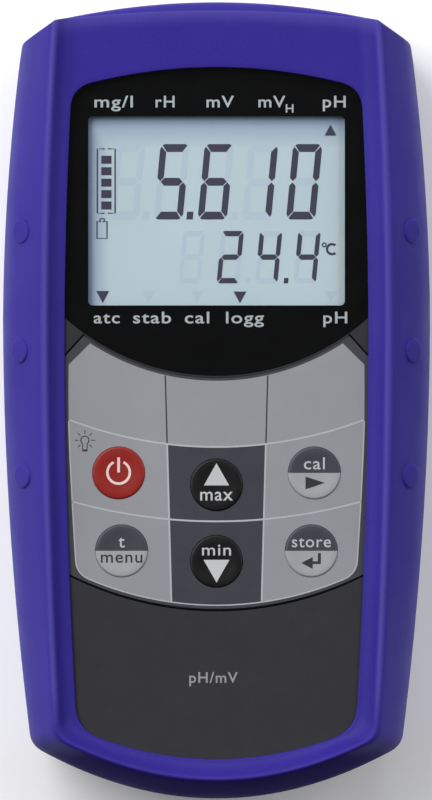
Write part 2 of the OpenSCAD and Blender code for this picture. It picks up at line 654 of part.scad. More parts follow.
module battery_door() color([0.2, 0.2, 0.22])
  difference() {
    union() {
      translate([-door_w / 2, door_y0, door_z0]) cube([door_w, door_y1 - door_y0, door_t]);
      translate([-bay_w / 2 + 0.4, bay_y0 + 0.4, door_z0])
        cube([bay_w - 0.8, bay_y1 - bay_y0 - 0.8, door_t + 0.9]);
    }
    translate([-bay_w / 2 + 1.8, bay_y0 + 1.8, door_z0 + door_t - 0.2])
      cube([bay_w - 3.6, bay_y1 - bay_y0 - 3.6, 3]);
    // seal groove
    translate([0, 0, door_z0 + door_t - 0.5]) linear_extrude(2) difference() {
      square([2 * 13.2, 3 * 60], center = true);
      square([2 * 12, 4 * 60], center = true);
    }
    for (y = DOOR_SCREWS) translate([0, y, 0]) {
      cylinder(r = 2.4, h = door_z0 + 0.9, $fn = fine);
      cylinder(r = 1.3, h = 6, $fn = fine);
    }
    for (i = [-1 : 1]) translate([-7, -20 + 3 * i, 0]) cube([14, 1, door_z0 + 0.3]);
  }

module door_gasket() color([0.05, 0.05, 0.05])
  for (side = [-1, 1])
    translate([side * 12.6 - 0.5, door_y0 + 2, door_z0 + door_t - 0.45])
      cube([1, door_y1 - door_y0 - 4, 0.5]);

module door_screws() color([0.75, 0.75, 0.77])
  for (y = DOOR_SCREWS) translate([0, y, 0]) difference() {
    union() {
      translate([0, 0, door_z0 - 0.02]) cylinder(r = 2.2, h = 0.85, $fn = fine);
      translate([0, 0, door_z0 + 0.5]) cylinder(r = 1.2, h = 6, $fn = fine);
    }
    translate([-1.7, -0.35, 0]) cube([3.4, 0.7, door_z0 + 0.45]);
  }

module housing_screws() color([0.7, 0.7, 0.72])
  for (p = HOUSE_SCREWS) translate([p[0], p[1], 0]) difference() {
    union() {
      translate([0, 0, 2.2]) cylinder(r = 2.3, h = 2.15, $fn = fine);
      translate([0, 0, 4]) cylinder(r = 1.25, h = 21, $fn = fine);
    }
    translate([0, 0, 1]) cylinder(r = 1.3, h = 2.6, $fn = 6);
  }

// ---------- clip and plate ----------

module clip() color([0.14, 0.14, 0.15]) {
  end_r = 6;
  half_w = clip_w / 2;
  tip = hinge_y - clip_l;
  difference() {
    union() {
      translate([0, 0, hinge_z - clip_t]) linear_extrude(clip_t) difference() {
        rounded(-half_w, tip, half_w, hinge_y, end_r);
        translate([0, tip + 8]) circle(3, $fn = fine);
        translate([-3, tip + 8]) square([6, 5]);
        translate([0, tip + 13]) circle(3, $fn = fine);
        rounded(-4, tip + 22, 4, hinge_y - 9, 2);
      }
      translate([-half_w, hinge_y - 8, hinge_z - clip_t]) cube([clip_w, 8, clip_t]);
      translate([0, hinge_y, hinge_z]) rotate([0, 90, 0])
        cylinder(r = barrel_r, h = clip_w, center = true, $fn = fine);
    }
    translate([0, hinge_y, hinge_z]) rotate([0, 90, 0])
      cylinder(r = pin_r + 0.05, h = clip_w + 2, center = true, $fn = fine);
  }
}

module clip_pin() color([0.75, 0.75, 0.77])
  translate([0, hinge_y, hinge_z]) rotate([0, 90, 0])
    cylinder(r = pin_r, h = clip_w + 5, center = true, $fn = fine);

module rating_plate() color([0.75, 0.75, 0.76])
  translate([13.1, 14.1, back_z + 0.02]) cube([13, 34, 0.3]);

boot();
front_shell();
rear_shell();
shell_gasket();
display_window();
window_mask();
keypad_foil();
key_power();
key_up();
key_cal();
key_menu();
key_down();
key_store();
dome_sheet();
snap_domes();
lcd_glass();
lcd_frame();
backlight_panel();
zebra_strips();
main_pcb();
pcb_chips();
pcb_screws();
buzzer();
end_panel();
bnc_barrel();
bnc_insulator();
bnc_contact();
bnc_nut();
banana_collar_a();
banana_collar_b();
banana_sleeve_a();
banana_sleeve_b();
banana_nuts();
jack_bushing();
jack_body();
cell_left();
cell_right();
cell_contacts();
battery_door();
door_gasket();
door_screws();
housing_screws();
clip();
clip_pin();
rating_plate();
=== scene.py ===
import math

import bmesh
import bpy
from mathutils import Matrix, Vector


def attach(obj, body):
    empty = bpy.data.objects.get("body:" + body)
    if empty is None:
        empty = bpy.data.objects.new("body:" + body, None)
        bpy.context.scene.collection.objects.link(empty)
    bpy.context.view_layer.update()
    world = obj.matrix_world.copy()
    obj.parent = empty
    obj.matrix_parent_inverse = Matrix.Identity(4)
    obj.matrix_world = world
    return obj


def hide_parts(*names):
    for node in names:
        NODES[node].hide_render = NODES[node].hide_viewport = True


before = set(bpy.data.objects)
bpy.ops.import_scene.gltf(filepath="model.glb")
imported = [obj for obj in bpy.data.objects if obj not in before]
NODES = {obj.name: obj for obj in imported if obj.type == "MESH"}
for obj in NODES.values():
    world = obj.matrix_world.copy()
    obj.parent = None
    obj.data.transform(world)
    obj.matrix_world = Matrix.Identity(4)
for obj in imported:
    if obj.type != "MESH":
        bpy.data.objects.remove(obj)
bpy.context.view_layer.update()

MM = 0.001

# ---------------------------------------------------------------- camera
VIEW_H = 0.1612          # height of the picture at the boot's widest level, m
CAM_Z = 2.5              # camera above the floor, m
WIDEST_Z = 0.018         # the boot's widest level, m
cam_data = bpy.data.cameras.new("camera")
cam = bpy.data.objects.new("camera", cam_data)
bpy.context.scene.collection.objects.link(cam)
cam.location = (-0.0001, 0.0002, CAM_Z)
cam_data.sensor_width = 36
cam_data.lens = cam_data.sensor_width * (CAM_Z - WIDEST_Z) / VIEW_H
cam_data.clip_start, cam_data.clip_end = 0.1, 20
bpy.context.scene.camera = cam

# ---------------------------------------------------------------- outlines, as in the CAD source
# Each is [x_top, y_top, rise, x_mid, y_mid, x_foot, y_foot, drop, cut_top, cut_foot], in mm, and goes
# on with the outer corner of its top chamfers if it has them.
OUTER = [38.8, 74.6, 5.4, 43, 16, 37.3, -69.25, 10.75, 6.5, 2.2, 39.1, 71.75]
BACK_EDGE = [34.7, 73.8, 5.7, 38.5, 16, 33, -66, 9.2, 6, 2.6, 34.9, 71.5]
RIDGE = [32.4, 76.3, 1.7, 34.4, 17, 32, -67.2, 8.5, 1.2, 2.2]
LIP = [29, 62.6, 4.2, 30.4, 14, 27.9, -65.7, 6, 4, 4.5]
BACK_LIP = [27, 66, 1, 28.5, 16, 25.5, -61, 7, 4, 4]
HOUSE = [36, 69, 0, 39.3, 16, 33.9, -67, 9, 3, 4]
HOUSE_FRONT = [31.8, 69, 0, 34, 16, 30.6, -67, 6.6, 2, 4]
HOUSE_BACK = [30.6, 69, 0, 33.1, 16, 28.6, -64.5, 6.5, 2, 4]
FACE_Z, SPLIT_Z, BACK_Z, RIDGE_Z = 33.5, 17.0, 1.2, 37.0
LIP_Z, LIP_TOP, GAP = 33.65, 34.3, 0.15
WINDOW_CY = 50.5         # centre of the window's lower arc
CRISP = 5                # how closely a top chamfer keeps to its corner
KEYS = {"power": (-19.6, -14.4), "up": (0, -16.8), "cal": (19.6, -14.4),
        "menu": (-19, -30), "down": (0, -32.1), "store": (19, -30)}
KEY_R, KEY_TOP = 5.2, 33.8
DISH_R, DISH_DEPTH = 45.0, 0.18


def mixv(a, b, t):
    return [p + (q - p) * t for p, q in zip(a, b)]


def ease(t):
    t = min(1.0, max(0.0, t))
    return t * t * (3 - 2 * t)


def inset(L, d):
    return [L[0] - d, L[1] - d, L[2], L[3] - d, L[4], L[5] - d, L[6] + d, L[7], L[8], L[9]]


def side_x(L, y):
    if y > L[4]:
        return L[3] - (L[3] - L[0]) * ((y - L[4]) / (L[1] - L[4])) ** 1.9
    return L[3] - (L[3] - L[5]) * ((L[4] - y) / (L[4] - L[6])) ** 1.9


def top_y(L, x):
    return L[1] + L[2] * (1 - (x / L[0]) ** 2)


def foot_y(L, x):
    return L[6] - L[7] * (1 - (x / L[5]) ** 2)


def bend(a, b, c, t, n=2):
    """From a to c round the corner b. A higher n keeps closer to the corner."""
    u, w = (1 - t) ** n, t ** n
    return tuple(u * p + (1 - u - w) * q + w * r for p, q, r in zip(a, b, c))


def outline(L, top=40, side=72, foot=34, corner=12):
    xa, ya, xb, yb = L[0] - L[8], L[1] - L[8], L[5] - L[9], L[6] + L[9]
    a, b = (xa, top_y(L, xa)), (side_x(L, ya), ya)
    c, d = (side_x(L, yb), yb), (xb, foot_y(L, xb))
    chamfered = len(L) > 10
    at = tuple(L[10:12]) if chamfered else (L[0], L[1])
    h = [(xa * i / top, top_y(L, xa * i / top)) for i in range(top + 1)]
    h += [bend(a, at, b, i / corner, CRISP if chamfered else 2) for i in range(1, corner)]
    for i in range(side + 1):
        y = ya + (yb - ya) * i / side
        h.append((side_x(L, y), y))
    h += [bend(c, (L[5], L[6]), d, i / corner) for i in range(1, corner)]
    h += [(xb * i / foot, foot_y(L, xb * i / foot)) for i in range(foot, -1, -1)]
    return h + [(-x, y) for x, y in h[-2:0:-1]]


def share(x, y, A, B):
    """How far x is from outline A, 0, to outline B, 1, at this y."""
    u = (abs(x) - side_x(A, y)) / (side_x(B, y) - side_x(A, y))
    return min(1.0, max(0.0, u))


def strip_rise(u):
    """Rise of the front from lip to ridge: it steepens, then rounds over at the crest."""
    if u < 0.75:
        return 1.97 * u * u / 1.5
    return 0.739 + 1.97 * (u - 0.75) - 3.7 * (u - 0.75) ** 2


def front_z(x, y, t):
    """Height of the boot's front, t of the way from its lip to its ridge."""
    side, foot = share(x, y, LIP, RIDGE), t
    w = ease((y + 10) / 20)
    low = LIP_TOP + 0.5 * t * ease((y - 60) / 8)
    return low + (RIDGE_Z - low) * strip_rise(foot + (side - foot) * w)


def ridged(x, y):
    """1 where the flank falls from the ridge, 0 at the socket mouth between the horns."""
    return 1.0 if y < RIDGE[1] else ease((abs(x) - 28.5) / 2.6)


def lookup(x, table):
    """Straight lines through the table's (x, y) points."""
    for (x0, y0), (x1, y1) in zip(table, table[1:]):
        if x <= x1:
            return y0 + (y1 - y0) * (x - x0) / (x1 - x0)
    return table[-1][1]


# ---------------------------------------------------------------- mesh helpers
def link(name, mesh, mats, body, smooth=35):
    ob = bpy.data.objects.new(name, mesh)
    bpy.context.scene.collection.objects.link(ob)
    for m in mats if isinstance(mats, (list, tuple)) else [mats]:
        mesh.materials.append(m)
    shade(mesh, smooth)
    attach(ob, body)
    return ob


def shade(mesh, angle):
    for p in mesh.polygons:
        p.use_smooth = True
    mesh.set_sharp_from_angle(angle=math.radians(angle))


def mesh_of(verts, faces, name):
    me = bpy.data.meshes.new(name)
    me.from_pydata([(x * MM, y * MM, z * MM) for x, y, z in verts], [], faces)
    me.update()
    return me


def applied(ob):
    """The object's mesh with its modifiers applied, and the modifiers gone."""
    bpy.context.view_layer.update()
    deps = bpy.context.evaluated_depsgraph_get()
    me = bpy.data.meshes.new_from_object(ob.evaluated_get(deps))
    ob.modifiers.clear()
    old = ob.data
    ob.data = me
    bpy.data.meshes.remove(old)
    return me


def prism(name, loops, z0, z1):
    """Closed flat pieces from 2-D loops in mm. A loop inside another is a hole in it."""
    cu = bpy.data.curves.new(name, "CURVE")
    cu.dimensions = "2D"
    cu.fill_mode = "BOTH"
    for loop in loops:
        sp = cu.splines.new("POLY")
        sp.points.add(len(loop) - 1)
        for p, (x, y) in zip(sp.points, loop):
            p.co = (x * MM, y * MM, 0, 1)
        sp.use_cyclic_u = True
    cu.extrude = (z1 - z0) / 2 * MM
    tmp = bpy.data.objects.new(name, cu)
    bpy.context.scene.collection.objects.link(tmp)
    bpy.context.view_layer.update()
    me = bpy.data.meshes.new_from_object(tmp.evaluated_get(bpy.context.evaluated_depsgraph_get()))
    bpy.data.objects.remove(tmp)
    bpy.data.curves.remove(cu)
    me.transform(Matrix.Translation((0, 0, (z0 + z1) / 2 * MM)))
    weld(me)
    me.name = name
    return me


def weld(me):
    bm = bmesh.new()
    bm.from_mesh(me)
    bmesh.ops.remove_doubles(bm, verts=bm.verts, dist=1e-7)
    bmesh.ops.recalc_face_normals(bm, faces=bm.faces)
    bm.to_mesh(me)
    bm.free()


def circle(cx, cy, r, n=72):
    turns = [2 * math.pi * i / n for i in range(n)]
    return [(cx + r * math.cos(a), cy + r * math.sin(a)) for a in turns]


def rect(x0, y0, x1, y1):
    return [(x0, y0), (x1, y0), (x1, y1), (x0, y1)]


def line(points, w):
    """Outline of a stroke of width w along points."""
    left, right = [], []
    for i, (x, y) in enumerate(points):
        a = points[max(0, i - 1)]
        b = points[min(len(points) - 1, i + 1)]
        dx, dy = b[0] - a[0], b[1] - a[1]
        n = math.hypot(dx, dy)
        ox, oy = -dy / n * w / 2, dx / n * w / 2
        left.append((x + ox, y + oy))
        right.append((x - ox, y - oy))
    return left + right[::-1]


def ring_arc(cx, cy, r, w, a0, a1, n=40):
    return line([(cx + r * math.cos(math.radians(a0 + (a1 - a0) * i / n)),
                  cy + r * math.sin(math.radians(a0 + (a1 - a0) * i / n))) for i in range(n + 1)], w)


CAP_HEIGHT = {}          # height of a capital in the face at size 1, measured once


def text_mesh(body, cap_h, bold=0.02, depth=0.03, width=None, spacing=1.0):
    """Plain sans lettering as a mesh: centred in x on its baseline, capitals cap_h mm high."""
    def make(s):
        cu = bpy.data.curves.new("t", "FONT")
        cu.body = s
        cu.align_x = "CENTER"
        cu.size = 1.0
        cu.space_character = spacing
        cu.offset = bold
        cu.resolution_u = 6
        cu.extrude = 0.5
        ob = bpy.data.objects.new("t", cu)
        bpy.context.scene.collection.objects.link(ob)
        bpy.context.view_layer.update()
        me = bpy.data.meshes.new_from_object(ob.evaluated_get(bpy.context.evaluated_depsgraph_get()))
        bpy.data.objects.remove(ob)
        bpy.data.curves.remove(cu)
        return me
    if "H" not in CAP_HEIGHT:
        m = make("H")
        ys = [v.co.y for v in m.vertices]
        CAP_HEIGHT["H"] = max(ys) - min(ys)
    me = make(body)
    k = cap_h * MM / CAP_HEIGHT["H"]
    xs = [v.co.x for v in me.vertices]
    kx = width * MM / (max(xs) - min(xs)) if width else k
    me.transform(Matrix.Translation((-(max(xs) + min(xs)) / 2, 0, 0)))
    me.transform(Matrix.Diagonal((kx, k, depth * MM, 1)))
    weld(me)
    return me


def joined(name, meshes):
    bm = bmesh.new()
    for m in meshes:
        bm.from_mesh(m)
        bpy.data.meshes.remove(m)
    me = bpy.data.meshes.new(name)
    bm.to_mesh(me)
    bm.free()
    return me


def placed(me, x, y, z):
    me.transform(Matrix.Translation((x * MM, y * MM, z * MM)))
    return me


def catmull(p0, p1, p2, p3, t):
    """Centripetal spline from p1 to p2."""
    def span(a, b):
        return max(1e-4, math.dist(a, b)) ** 0.5
    t1 = span(p0, p1)
    t2 = t1 + span(p1, p2)
    t3 = t2 + span(p2, p3)
    u = t1 + (t2 - t1) * t

    def lerp(a, b, ta, tb):
        w = (u - ta) / (tb - ta)
        return [m + (n - m) * w for m, n in zip(a, b)]
    a1, a2, a3 = lerp(p0, p1, 0, t1), lerp(p1, p2, t1, t2), lerp(p2, p3, t2, t3)
    b1, b2 = lerp(a1, a2, 0, t2), lerp(a2, a3, t1, t3)
    return lerp(b1, b2, t1, t2)


def smooth_rings(rings, parts):
    """The rings with parts steps between each two, point by point along splines."""
    out = []
    for k in range(len(rings) - 1):
        r0, r1, r2, r3 = rings[max(0, k - 1)], rings[k], rings[k + 1], rings[min(len(rings) - 1, k + 2)]
        for j in range(parts):
            t = j / parts
            if j == 0:
                out.append([list(p) for p in r1])
                continue
            row = []
            for a, b, c, d in zip(r0, r1, r2, r3):
                a = [2 * m - n for m, n in zip(b, c)] if a is b or a == b else a
                d = [2 * m - n for m, n in zip(c, b)] if d == c else d
                row.append(catmull(a, b, c, d, t))
            out.append(row)
    out.append([list(p) for p in rings[-1]])
    return out


# ---------------------------------------------------------------- materials
def srgb(r, g, b):
    def f(c):
        c /= 255
        return c / 12.92 if c <= 0.04045 else ((c + 0.055) / 1.055) ** 2.4
    return (f(r), f(g), f(b), 1.0)


class Tree:
    def __init__(self, name):
        self.mat = bpy.data.materials.new(name)
        self.mat.use_nodes = True
        self.nt = self.mat.node_tree
        self.p = self.nt.nodes["Principled BSDF"]
        self.coord = self.nt.nodes.new("ShaderNodeTexCoord")

    def node(self, kind, **values):
        n = self.nt.nodes.new(kind)
        for k, v in values.items():
            if k in n.inputs:
                n.inputs[k].default_value = v
            else:
                setattr(n, k, v)
        return n

    def to(self, a, b):
        self.nt.links.new(a, b)

    def noise(self, scale, detail=3.0, rough=0.55, stretch=None):
        n = self.node("ShaderNodeTexNoise", Scale=scale, Detail=detail, Roughness=rough)
        src = self.coord.outputs["Object"]
        if stretch:
            m = self.node("ShaderNodeMapping")
            m.inputs["Scale"].default_value = stretch
            self.to(src, m.inputs["Vector"])
            src = m.outputs["Vector"]
        self.to(src, n.inputs["Vector"])
        return n.outputs["Fac"]

    def voronoi(self, scale):
        n = self.node("ShaderNodeTexVoronoi", Scale=scale)
        self.to(self.coord.outputs["Object"], n.inputs["Vector"])
        return n.outputs["Distance"]

    def ramp(self, src, lo, hi, a=0.0, b=1.0):
        n = self.node("ShaderNodeMapRange")
        n.inputs["From Min"].default_value = lo
        n.inputs["From Max"].default_value = hi
        n.inputs["To Min"].default_value = a
        n.inputs["To Max"].default_value = b
        self.to(src, n.inputs["Value"])
        return n.outputs["Result"]

    def mix(self, fac, a, b):
        n = self.node("ShaderNodeMix", data_type="RGBA")
        for sock, v in ((n.inputs[6], a), (n.inputs[7], b)):
            if isinstance(v, tuple):
                sock.default_value = v
            else:
                self.to(v, sock)
        if isinstance(fac, float):
            n.inputs[0].default_value = fac
        else:
            self.to(fac, n.inputs[0])
        return n.outputs[2]

    def bump(self, heights):
        """heights: (socket, strength, distance in m), one on top of the other."""
        prev = None
        for src, strength, dist in heights:
            n = self.node("ShaderNodeBump", Strength=strength, Distance=dist)
            self.to(src, n.inputs["Height"])
            if prev:
                self.to(prev, n.inputs["Normal"])
            prev = n.outputs["Normal"]
        self.to(prev, self.p.inputs["Normal"])


def shade_of(c, k):
    return (min(1, c[0] * k), min(1, c[1] * k), min(1, c[2] * k), 1.0)


def plastic(name, colour, rough=0.5, vary=0.12, grain=2200, grain_depth=0.00003, grain_k=0.35,
            edge=1.35, specular=0.5, coat=0.0, metallic=0.0, fine=0.06):
    """Moulded or printed surface: soft colour drift, fine grain, uneven gloss and lighter worn edges."""
    t = Tree(name)
    big = t.noise(55, 3)
    col = t.mix(t.ramp(big, 0.3, 0.7), shade_of(colour, 1 - vary), shade_of(colour, 1 + vary))
    speck = t.noise(grain, 2)
    col = t.mix(t.ramp(speck, 0.35, 0.7, 0, fine), col, shade_of(colour, 1.8))
    if edge != 1.0:
        geo = t.node("ShaderNodeNewGeometry")
        worn = t.ramp(geo.outputs["Pointiness"], 0.53, 0.62, 0, 0.5)
        col = t.mix(worn, col, shade_of(colour, edge))
    t.to(col, t.p.inputs["Base Color"])
    t.to(t.ramp(t.noise(240, 3), 0.3, 0.7, rough - 0.06, rough + 0.07), t.p.inputs["Roughness"])
    t.p.inputs["Specular IOR Level"].default_value = specular
    t.p.inputs["Metallic"].default_value = metallic
    if coat:
        t.p.inputs["Coat Weight"].default_value = coat
        t.p.inputs["Coat Roughness"].default_value = 0.12
    t.bump([(big, 0.08, 0.0002), (speck, grain_k, grain_depth)])
    return t.mat


def metal(name, colour, rough=0.25, brushed=None, vary=0.08):
    t = Tree(name)
    big = t.noise(120, 3)
    col = t.mix(t.ramp(big, 0.3, 0.7), shade_of(colour, 1 - vary), shade_of(colour, 1 + vary))
    geo = t.node("ShaderNodeNewGeometry")
    col = t.mix(t.ramp(geo.outputs["Pointiness"], 0.5, 0.62, 0, 0.6), col, shade_of(colour, 1.25))
    t.to(col, t.p.inputs["Base Color"])
    t.p.inputs["Metallic"].default_value = 1.0
    scratch = t.noise(900, 3, 0.6, brushed or (1, 1, 1))
    t.to(t.ramp(scratch, 0.25, 0.75, rough - 0.07, rough + 0.1), t.p.inputs["Roughness"])
    t.bump([(scratch, 0.12, 0.00002)])
    return t.mat


def make_boot_material():
    """Satin silicone: even colour with faint flow marks, tiny specks and dust in the grain, with a painted
    highlight along the ridge crest and painted shade on the foot.
    """
    base = srgb(46, 35, 134)
    t = Tree("silicone_blue")
    big = t.noise(28, 4)
    col = t.mix(t.ramp(big, 0.3, 0.7), shade_of(base, 0.94), shade_of(base, 1.07))
    speck = t.noise(3000, 2, 0.6)
    col = t.mix(t.ramp(speck, 0.58, 0.72, 0, 0.2), col, srgb(84, 76, 168))
    dark = t.noise(2300, 2, 0.6)
    col = t.mix(t.ramp(dark, 0.6, 0.74, 0, 0.22), col, srgb(30, 22, 100))
    dust = t.voronoi(420)
    col = t.mix(t.ramp(dust, 0.0, 0.05, 0.12, 0), col, srgb(120, 116, 186))
    # painted highlight: lighter colour along the ridge crest, where the light falls on it
    crest_highlight = t.node("ShaderNodeAttribute", attribute_name="crest_highlight")
    col = t.mix(t.ramp(crest_highlight.outputs["Fac"], 0, 1, 0, 0.5), col, srgb(88, 82, 168))
    shade_fac = t.node("ShaderNodeAttribute", attribute_name="foot_shade")
    col = t.mix(t.ramp(shade_fac.outputs["Fac"], 0, 1, 0, 0.75), col, srgb(20, 15, 62))
    t.to(col, t.p.inputs["Base Color"])
    t.to(t.ramp(t.noise(90, 4), 0.3, 0.7, 0.5, 0.62), t.p.inputs["Roughness"])
    t.to(t.ramp(shade_fac.outputs["Fac"], 0, 1, 0.17, 0.01), t.p.inputs["Specular IOR Level"])
    t.bump([(big, 0.12, 0.0004), (speck, 0.35, 0.00002), (t.noise(700, 3), 0.12, 0.00006)])
    return t.mat


def make_window_material():
    """Clear lens: almost all see-through, with a faint tint and a sharp surface shine."""
    t = Tree("window_clear")
    nt = t.nt
    clear = t.node("ShaderNodeBsdfTransparent")
    clear.inputs["Color"].default_value = (0.975, 0.985, 0.985, 1)
    gloss = t.node("ShaderNodeBsdfGlossy")
    gloss.inputs["Color"].default_value = (1, 1, 1, 1)
    gloss.inputs["Roughness"].default_value = 0.04
    facing = t.node("ShaderNodeLayerWeight", Blend=0.5)
    power = t.node("ShaderNodeMath", operation="POWER")
    t.to(facing.outputs["Facing"], power.inputs[0])
    power.inputs[1].default_value = 5.0
    smear = t.noise(60, 3)
    bump = t.node("ShaderNodeBump", Strength=0.03, Distance=0.0004)
    t.to(smear, bump.inputs["Height"])
    t.to(bump.outputs["Normal"], gloss.inputs["Normal"])
    mixer = t.node("ShaderNodeMixShader")
    t.to(t.ramp(power.outputs[0], 0, 1, 0.03, 1.0), mixer.inputs[0])
    t.to(clear.outputs[0], mixer.inputs[1])
    t.to(gloss.outputs[0], mixer.inputs[2])
    out = [n for n in nt.nodes if n.type == "OUTPUT_MATERIAL"][0]
    nt.nodes.remove(t.p)
    t.to(mixer.outputs[0], out.inputs["Surface"])
    return t.mat


def make_lcd_material():
    """Reflective display glass: pale grey-blue, with a painted shadow of the mask, bluer and darker, along
    its top and left.
    """
    t = Tree("display_glass")
    sep = t.node("ShaderNodeSeparateXYZ")
    t.to(t.coord.outputs["Object"], sep.inputs[0])
    # painted shadow: the mask's shade on the glass along its top and left edges
    top = t.ramp(sep.outputs["Y"], 0.0505, 0.0575, 0, 1)
    left = t.ramp(sep.outputs["X"], -0.0262, -0.0215, 1, 0)
    mask_shadow = t.node("ShaderNodeMath", operation="MAXIMUM")
    t.to(top, mask_shadow.inputs[0])
    t.to(left, mask_shadow.inputs[1])
    pale = t.mix(t.ramp(t.noise(45, 3), 0.3, 0.7), srgb(190, 206, 214), srgb(196, 211, 218))
    col = t.mix(t.ramp(mask_shadow.outputs[0], 0, 1, 0, 0.85), pale, srgb(130, 148, 184))
    t.to(col, t.p.inputs["Base Color"])
    t.to(t.ramp(t.noise(500, 2), 0.3, 0.7, 0.32, 0.42), t.p.inputs["Roughness"])
    t.bump([(t.noise(4000, 2), 0.1, 0.00001)])
    return t.mat


def make_pcb_material():
    t = Tree("board_green")
    base = srgb(22, 92, 52)
    brick = t.node("ShaderNodeTexBrick", Scale=140)
    t.to(t.coord.outputs["Object"], brick.inputs["Vector"])
    brick.inputs["Mortar Size"].default_value = 0.03
    col = t.mix(t.ramp(brick.outputs["Fac"], 0, 1, 0, 0.6), base, srgb(40, 130, 74))
    col = t.mix(t.ramp(t.noise(90, 3), 0.3, 0.7, 0, 0.4), col, srgb(16, 70, 40))
    t.to(col, t.p.inputs["Base Color"])
    t.to(t.ramp(t.noise(300, 2), 0.3, 0.7, 0.25, 0.4), t.p.inputs["Roughness"])
    t.bump([(brick.outputs["Fac"], 0.3, 0.00003)])
    return t.mat


def make_cell_material():
    """Printed cell sleeve: a copper-coloured top, a dark body and a worn metal sheen, no lettering."""
    t = Tree("cell_sleeve")
    sep = t.node("ShaderNodeSeparateXYZ")
    t.to(t.coord.outputs["Object"], sep.inputs[0])
    band = t.ramp(sep.outputs["Y"], -0.0285, -0.0283, 0, 1)
    col = t.mix(band, srgb(34, 34, 38), srgb(176, 122, 62))
    col = t.mix(t.ramp(t.noise(200, 3), 0.3, 0.7, 0, 0.2), col, srgb(20, 20, 22))
    t.to(col, t.p.inputs["Base Color"])
    t.p.inputs["Metallic"].default_value = 0.6
    t.to(t.ramp(t.noise(400, 3), 0.3, 0.7, 0.28, 0.42), t.p.inputs["Roughness"])
    t.bump([(t.noise(900, 2), 0.1, 0.00002)])
    return t.mat


M = {
    "boot": make_boot_material(),
    "housing": plastic("housing_charcoal", srgb(41, 41, 46), 0.55, 0.06, 2600, 0.00003, 0.45, 1.25, 0.3,
                       fine=0.08),
    "seal": plastic("seal_rubber", srgb(26, 26, 28), 0.65, 0.15),
    "window": make_window_material(),
    "mask": plastic("mask_black", srgb(6, 6, 7), 0.4, 0.1, 1500, 0.00001, 0.1, 1.0, 0.06, fine=0.0),
    "lcd": make_lcd_material(),
    "foil_base": plastic("foil_border", srgb(58, 58, 66), 0.5, 0.05, 2600, 0.00002, 0.35, 1.0, 0.35),
    "foil_light": plastic("foil_light", srgb(139, 140, 145), 0.5, 0.04, 2600, 0.00002, 0.35, 1.0, 0.35,
                          fine=0.05),
    "foil_dark": plastic("foil_slate", srgb(55, 55, 65), 0.5, 0.05, 2600, 0.00002, 0.35, 1.0, 0.35),
    "key_red": plastic("key_red", srgb(134, 26, 19), 0.45, 0.07, 2400, 0.00002, 0.35, 1.15, 0.4),
    "key_black": plastic("key_black", srgb(11, 11, 13), 0.45, 0.1, 2400, 0.00002, 0.35, 1.2, 0.3),
    "key_slate": plastic("key_slate", srgb(60, 60, 70), 0.45, 0.07, 2400, 0.00002, 0.35, 1.25, 0.4),
    "key_light": plastic("key_light", srgb(152, 153, 157), 0.45, 0.05, 2400, 0.00002, 0.35, 1.1, 0.4),
    "ink_light": plastic("ink_light", srgb(178, 182, 186), 0.5, 0.05, 3000, 0.00001, 0.2, 1.0, 0.3),
    "ink_white": plastic("ink_white", srgb(184, 185, 188), 0.5, 0.04, 3000, 0.00001, 0.2, 1.0, 0.3),
    "ink_grey": plastic("ink_grey", srgb(142, 142, 147), 0.5, 0.05, 3000, 0.00001, 0.2, 1.0, 0.3),
    "ink_line": plastic("ink_line", srgb(170, 171, 176), 0.5, 0.05, 3000, 0.00001, 0.2, 1.0, 0.3),
    "ink_dark": plastic("ink_dark", srgb(44, 44, 50), 0.5, 0.08, 3000, 0.00001, 0.2, 1.0, 0.3),
    "ink_pink": plastic("ink_pink", srgb(222, 196, 194), 0.5, 0.04, 3000, 0.00001, 0.2, 1.0, 0.3),
    "segment": plastic("lcd_segment", srgb(67, 65, 84), 0.4, 0.05, 1500, 0.00001, 0.1, 1.0, 0.3, fine=0.0),
    "ghost": plastic("lcd_ghost", srgb(186, 201, 214), 0.4, 0.02, 1500, 0.00001, 0.1, 1.0, 0.3, fine=0.0),
    "inner": plastic("inner_black", srgb(28, 28, 30), 0.5, 0.1),
    "panel": plastic("panel_black", srgb(38, 38, 41), 0.5, 0.08, 2400, 0.00004, 0.45, 1.3),
    "clip": plastic("clip_black", srgb(36, 36, 39), 0.5, 0.08, 2400, 0.00004, 0.45, 1.35),
    "nickel": metal("nickel", srgb(205, 202, 196), 0.2),
    "screw": metal("screw_zinc", srgb(184, 184, 186), 0.32, (1, 1, 1)),
    "steel": metal("steel", srgb(196, 196, 198), 0.26, (1, 12, 1)),
    "gold": metal("gold", srgb(228, 188, 110), 0.22),
    "brass": metal("brass", srgb(206, 176, 112), 0.24),
    "plate": metal("plate", srgb(190, 190, 192), 0.38, (14, 1, 1), 0.04),
    "insulator": plastic("insulator_white", srgb(232, 230, 222), 0.4, 0.04),
    "red": plastic("collar_red", srgb(160, 26, 22), 0.28, 0.08, 1800, 0.00001, 0.15, 1.2, 0.5, 0.3),
    "black": plastic("collar_black", srgb(20, 20, 22), 0.28, 0.1, 1800, 0.00001, 0.15, 1.4, 0.5, 0.3),
    "diffuser": plastic("diffuser", srgb(232, 236, 240), 0.35, 0.02),
    "zebra": plastic("zebra", srgb(206, 150, 158), 0.6, 0.1),
    "film": plastic("film", srgb(206, 200, 160), 0.35, 0.05),
    "chip": plastic("chip", srgb(24, 24, 27), 0.5, 0.1),
    "pcb": make_pcb_material(),
    "cell": make_cell_material(),
}

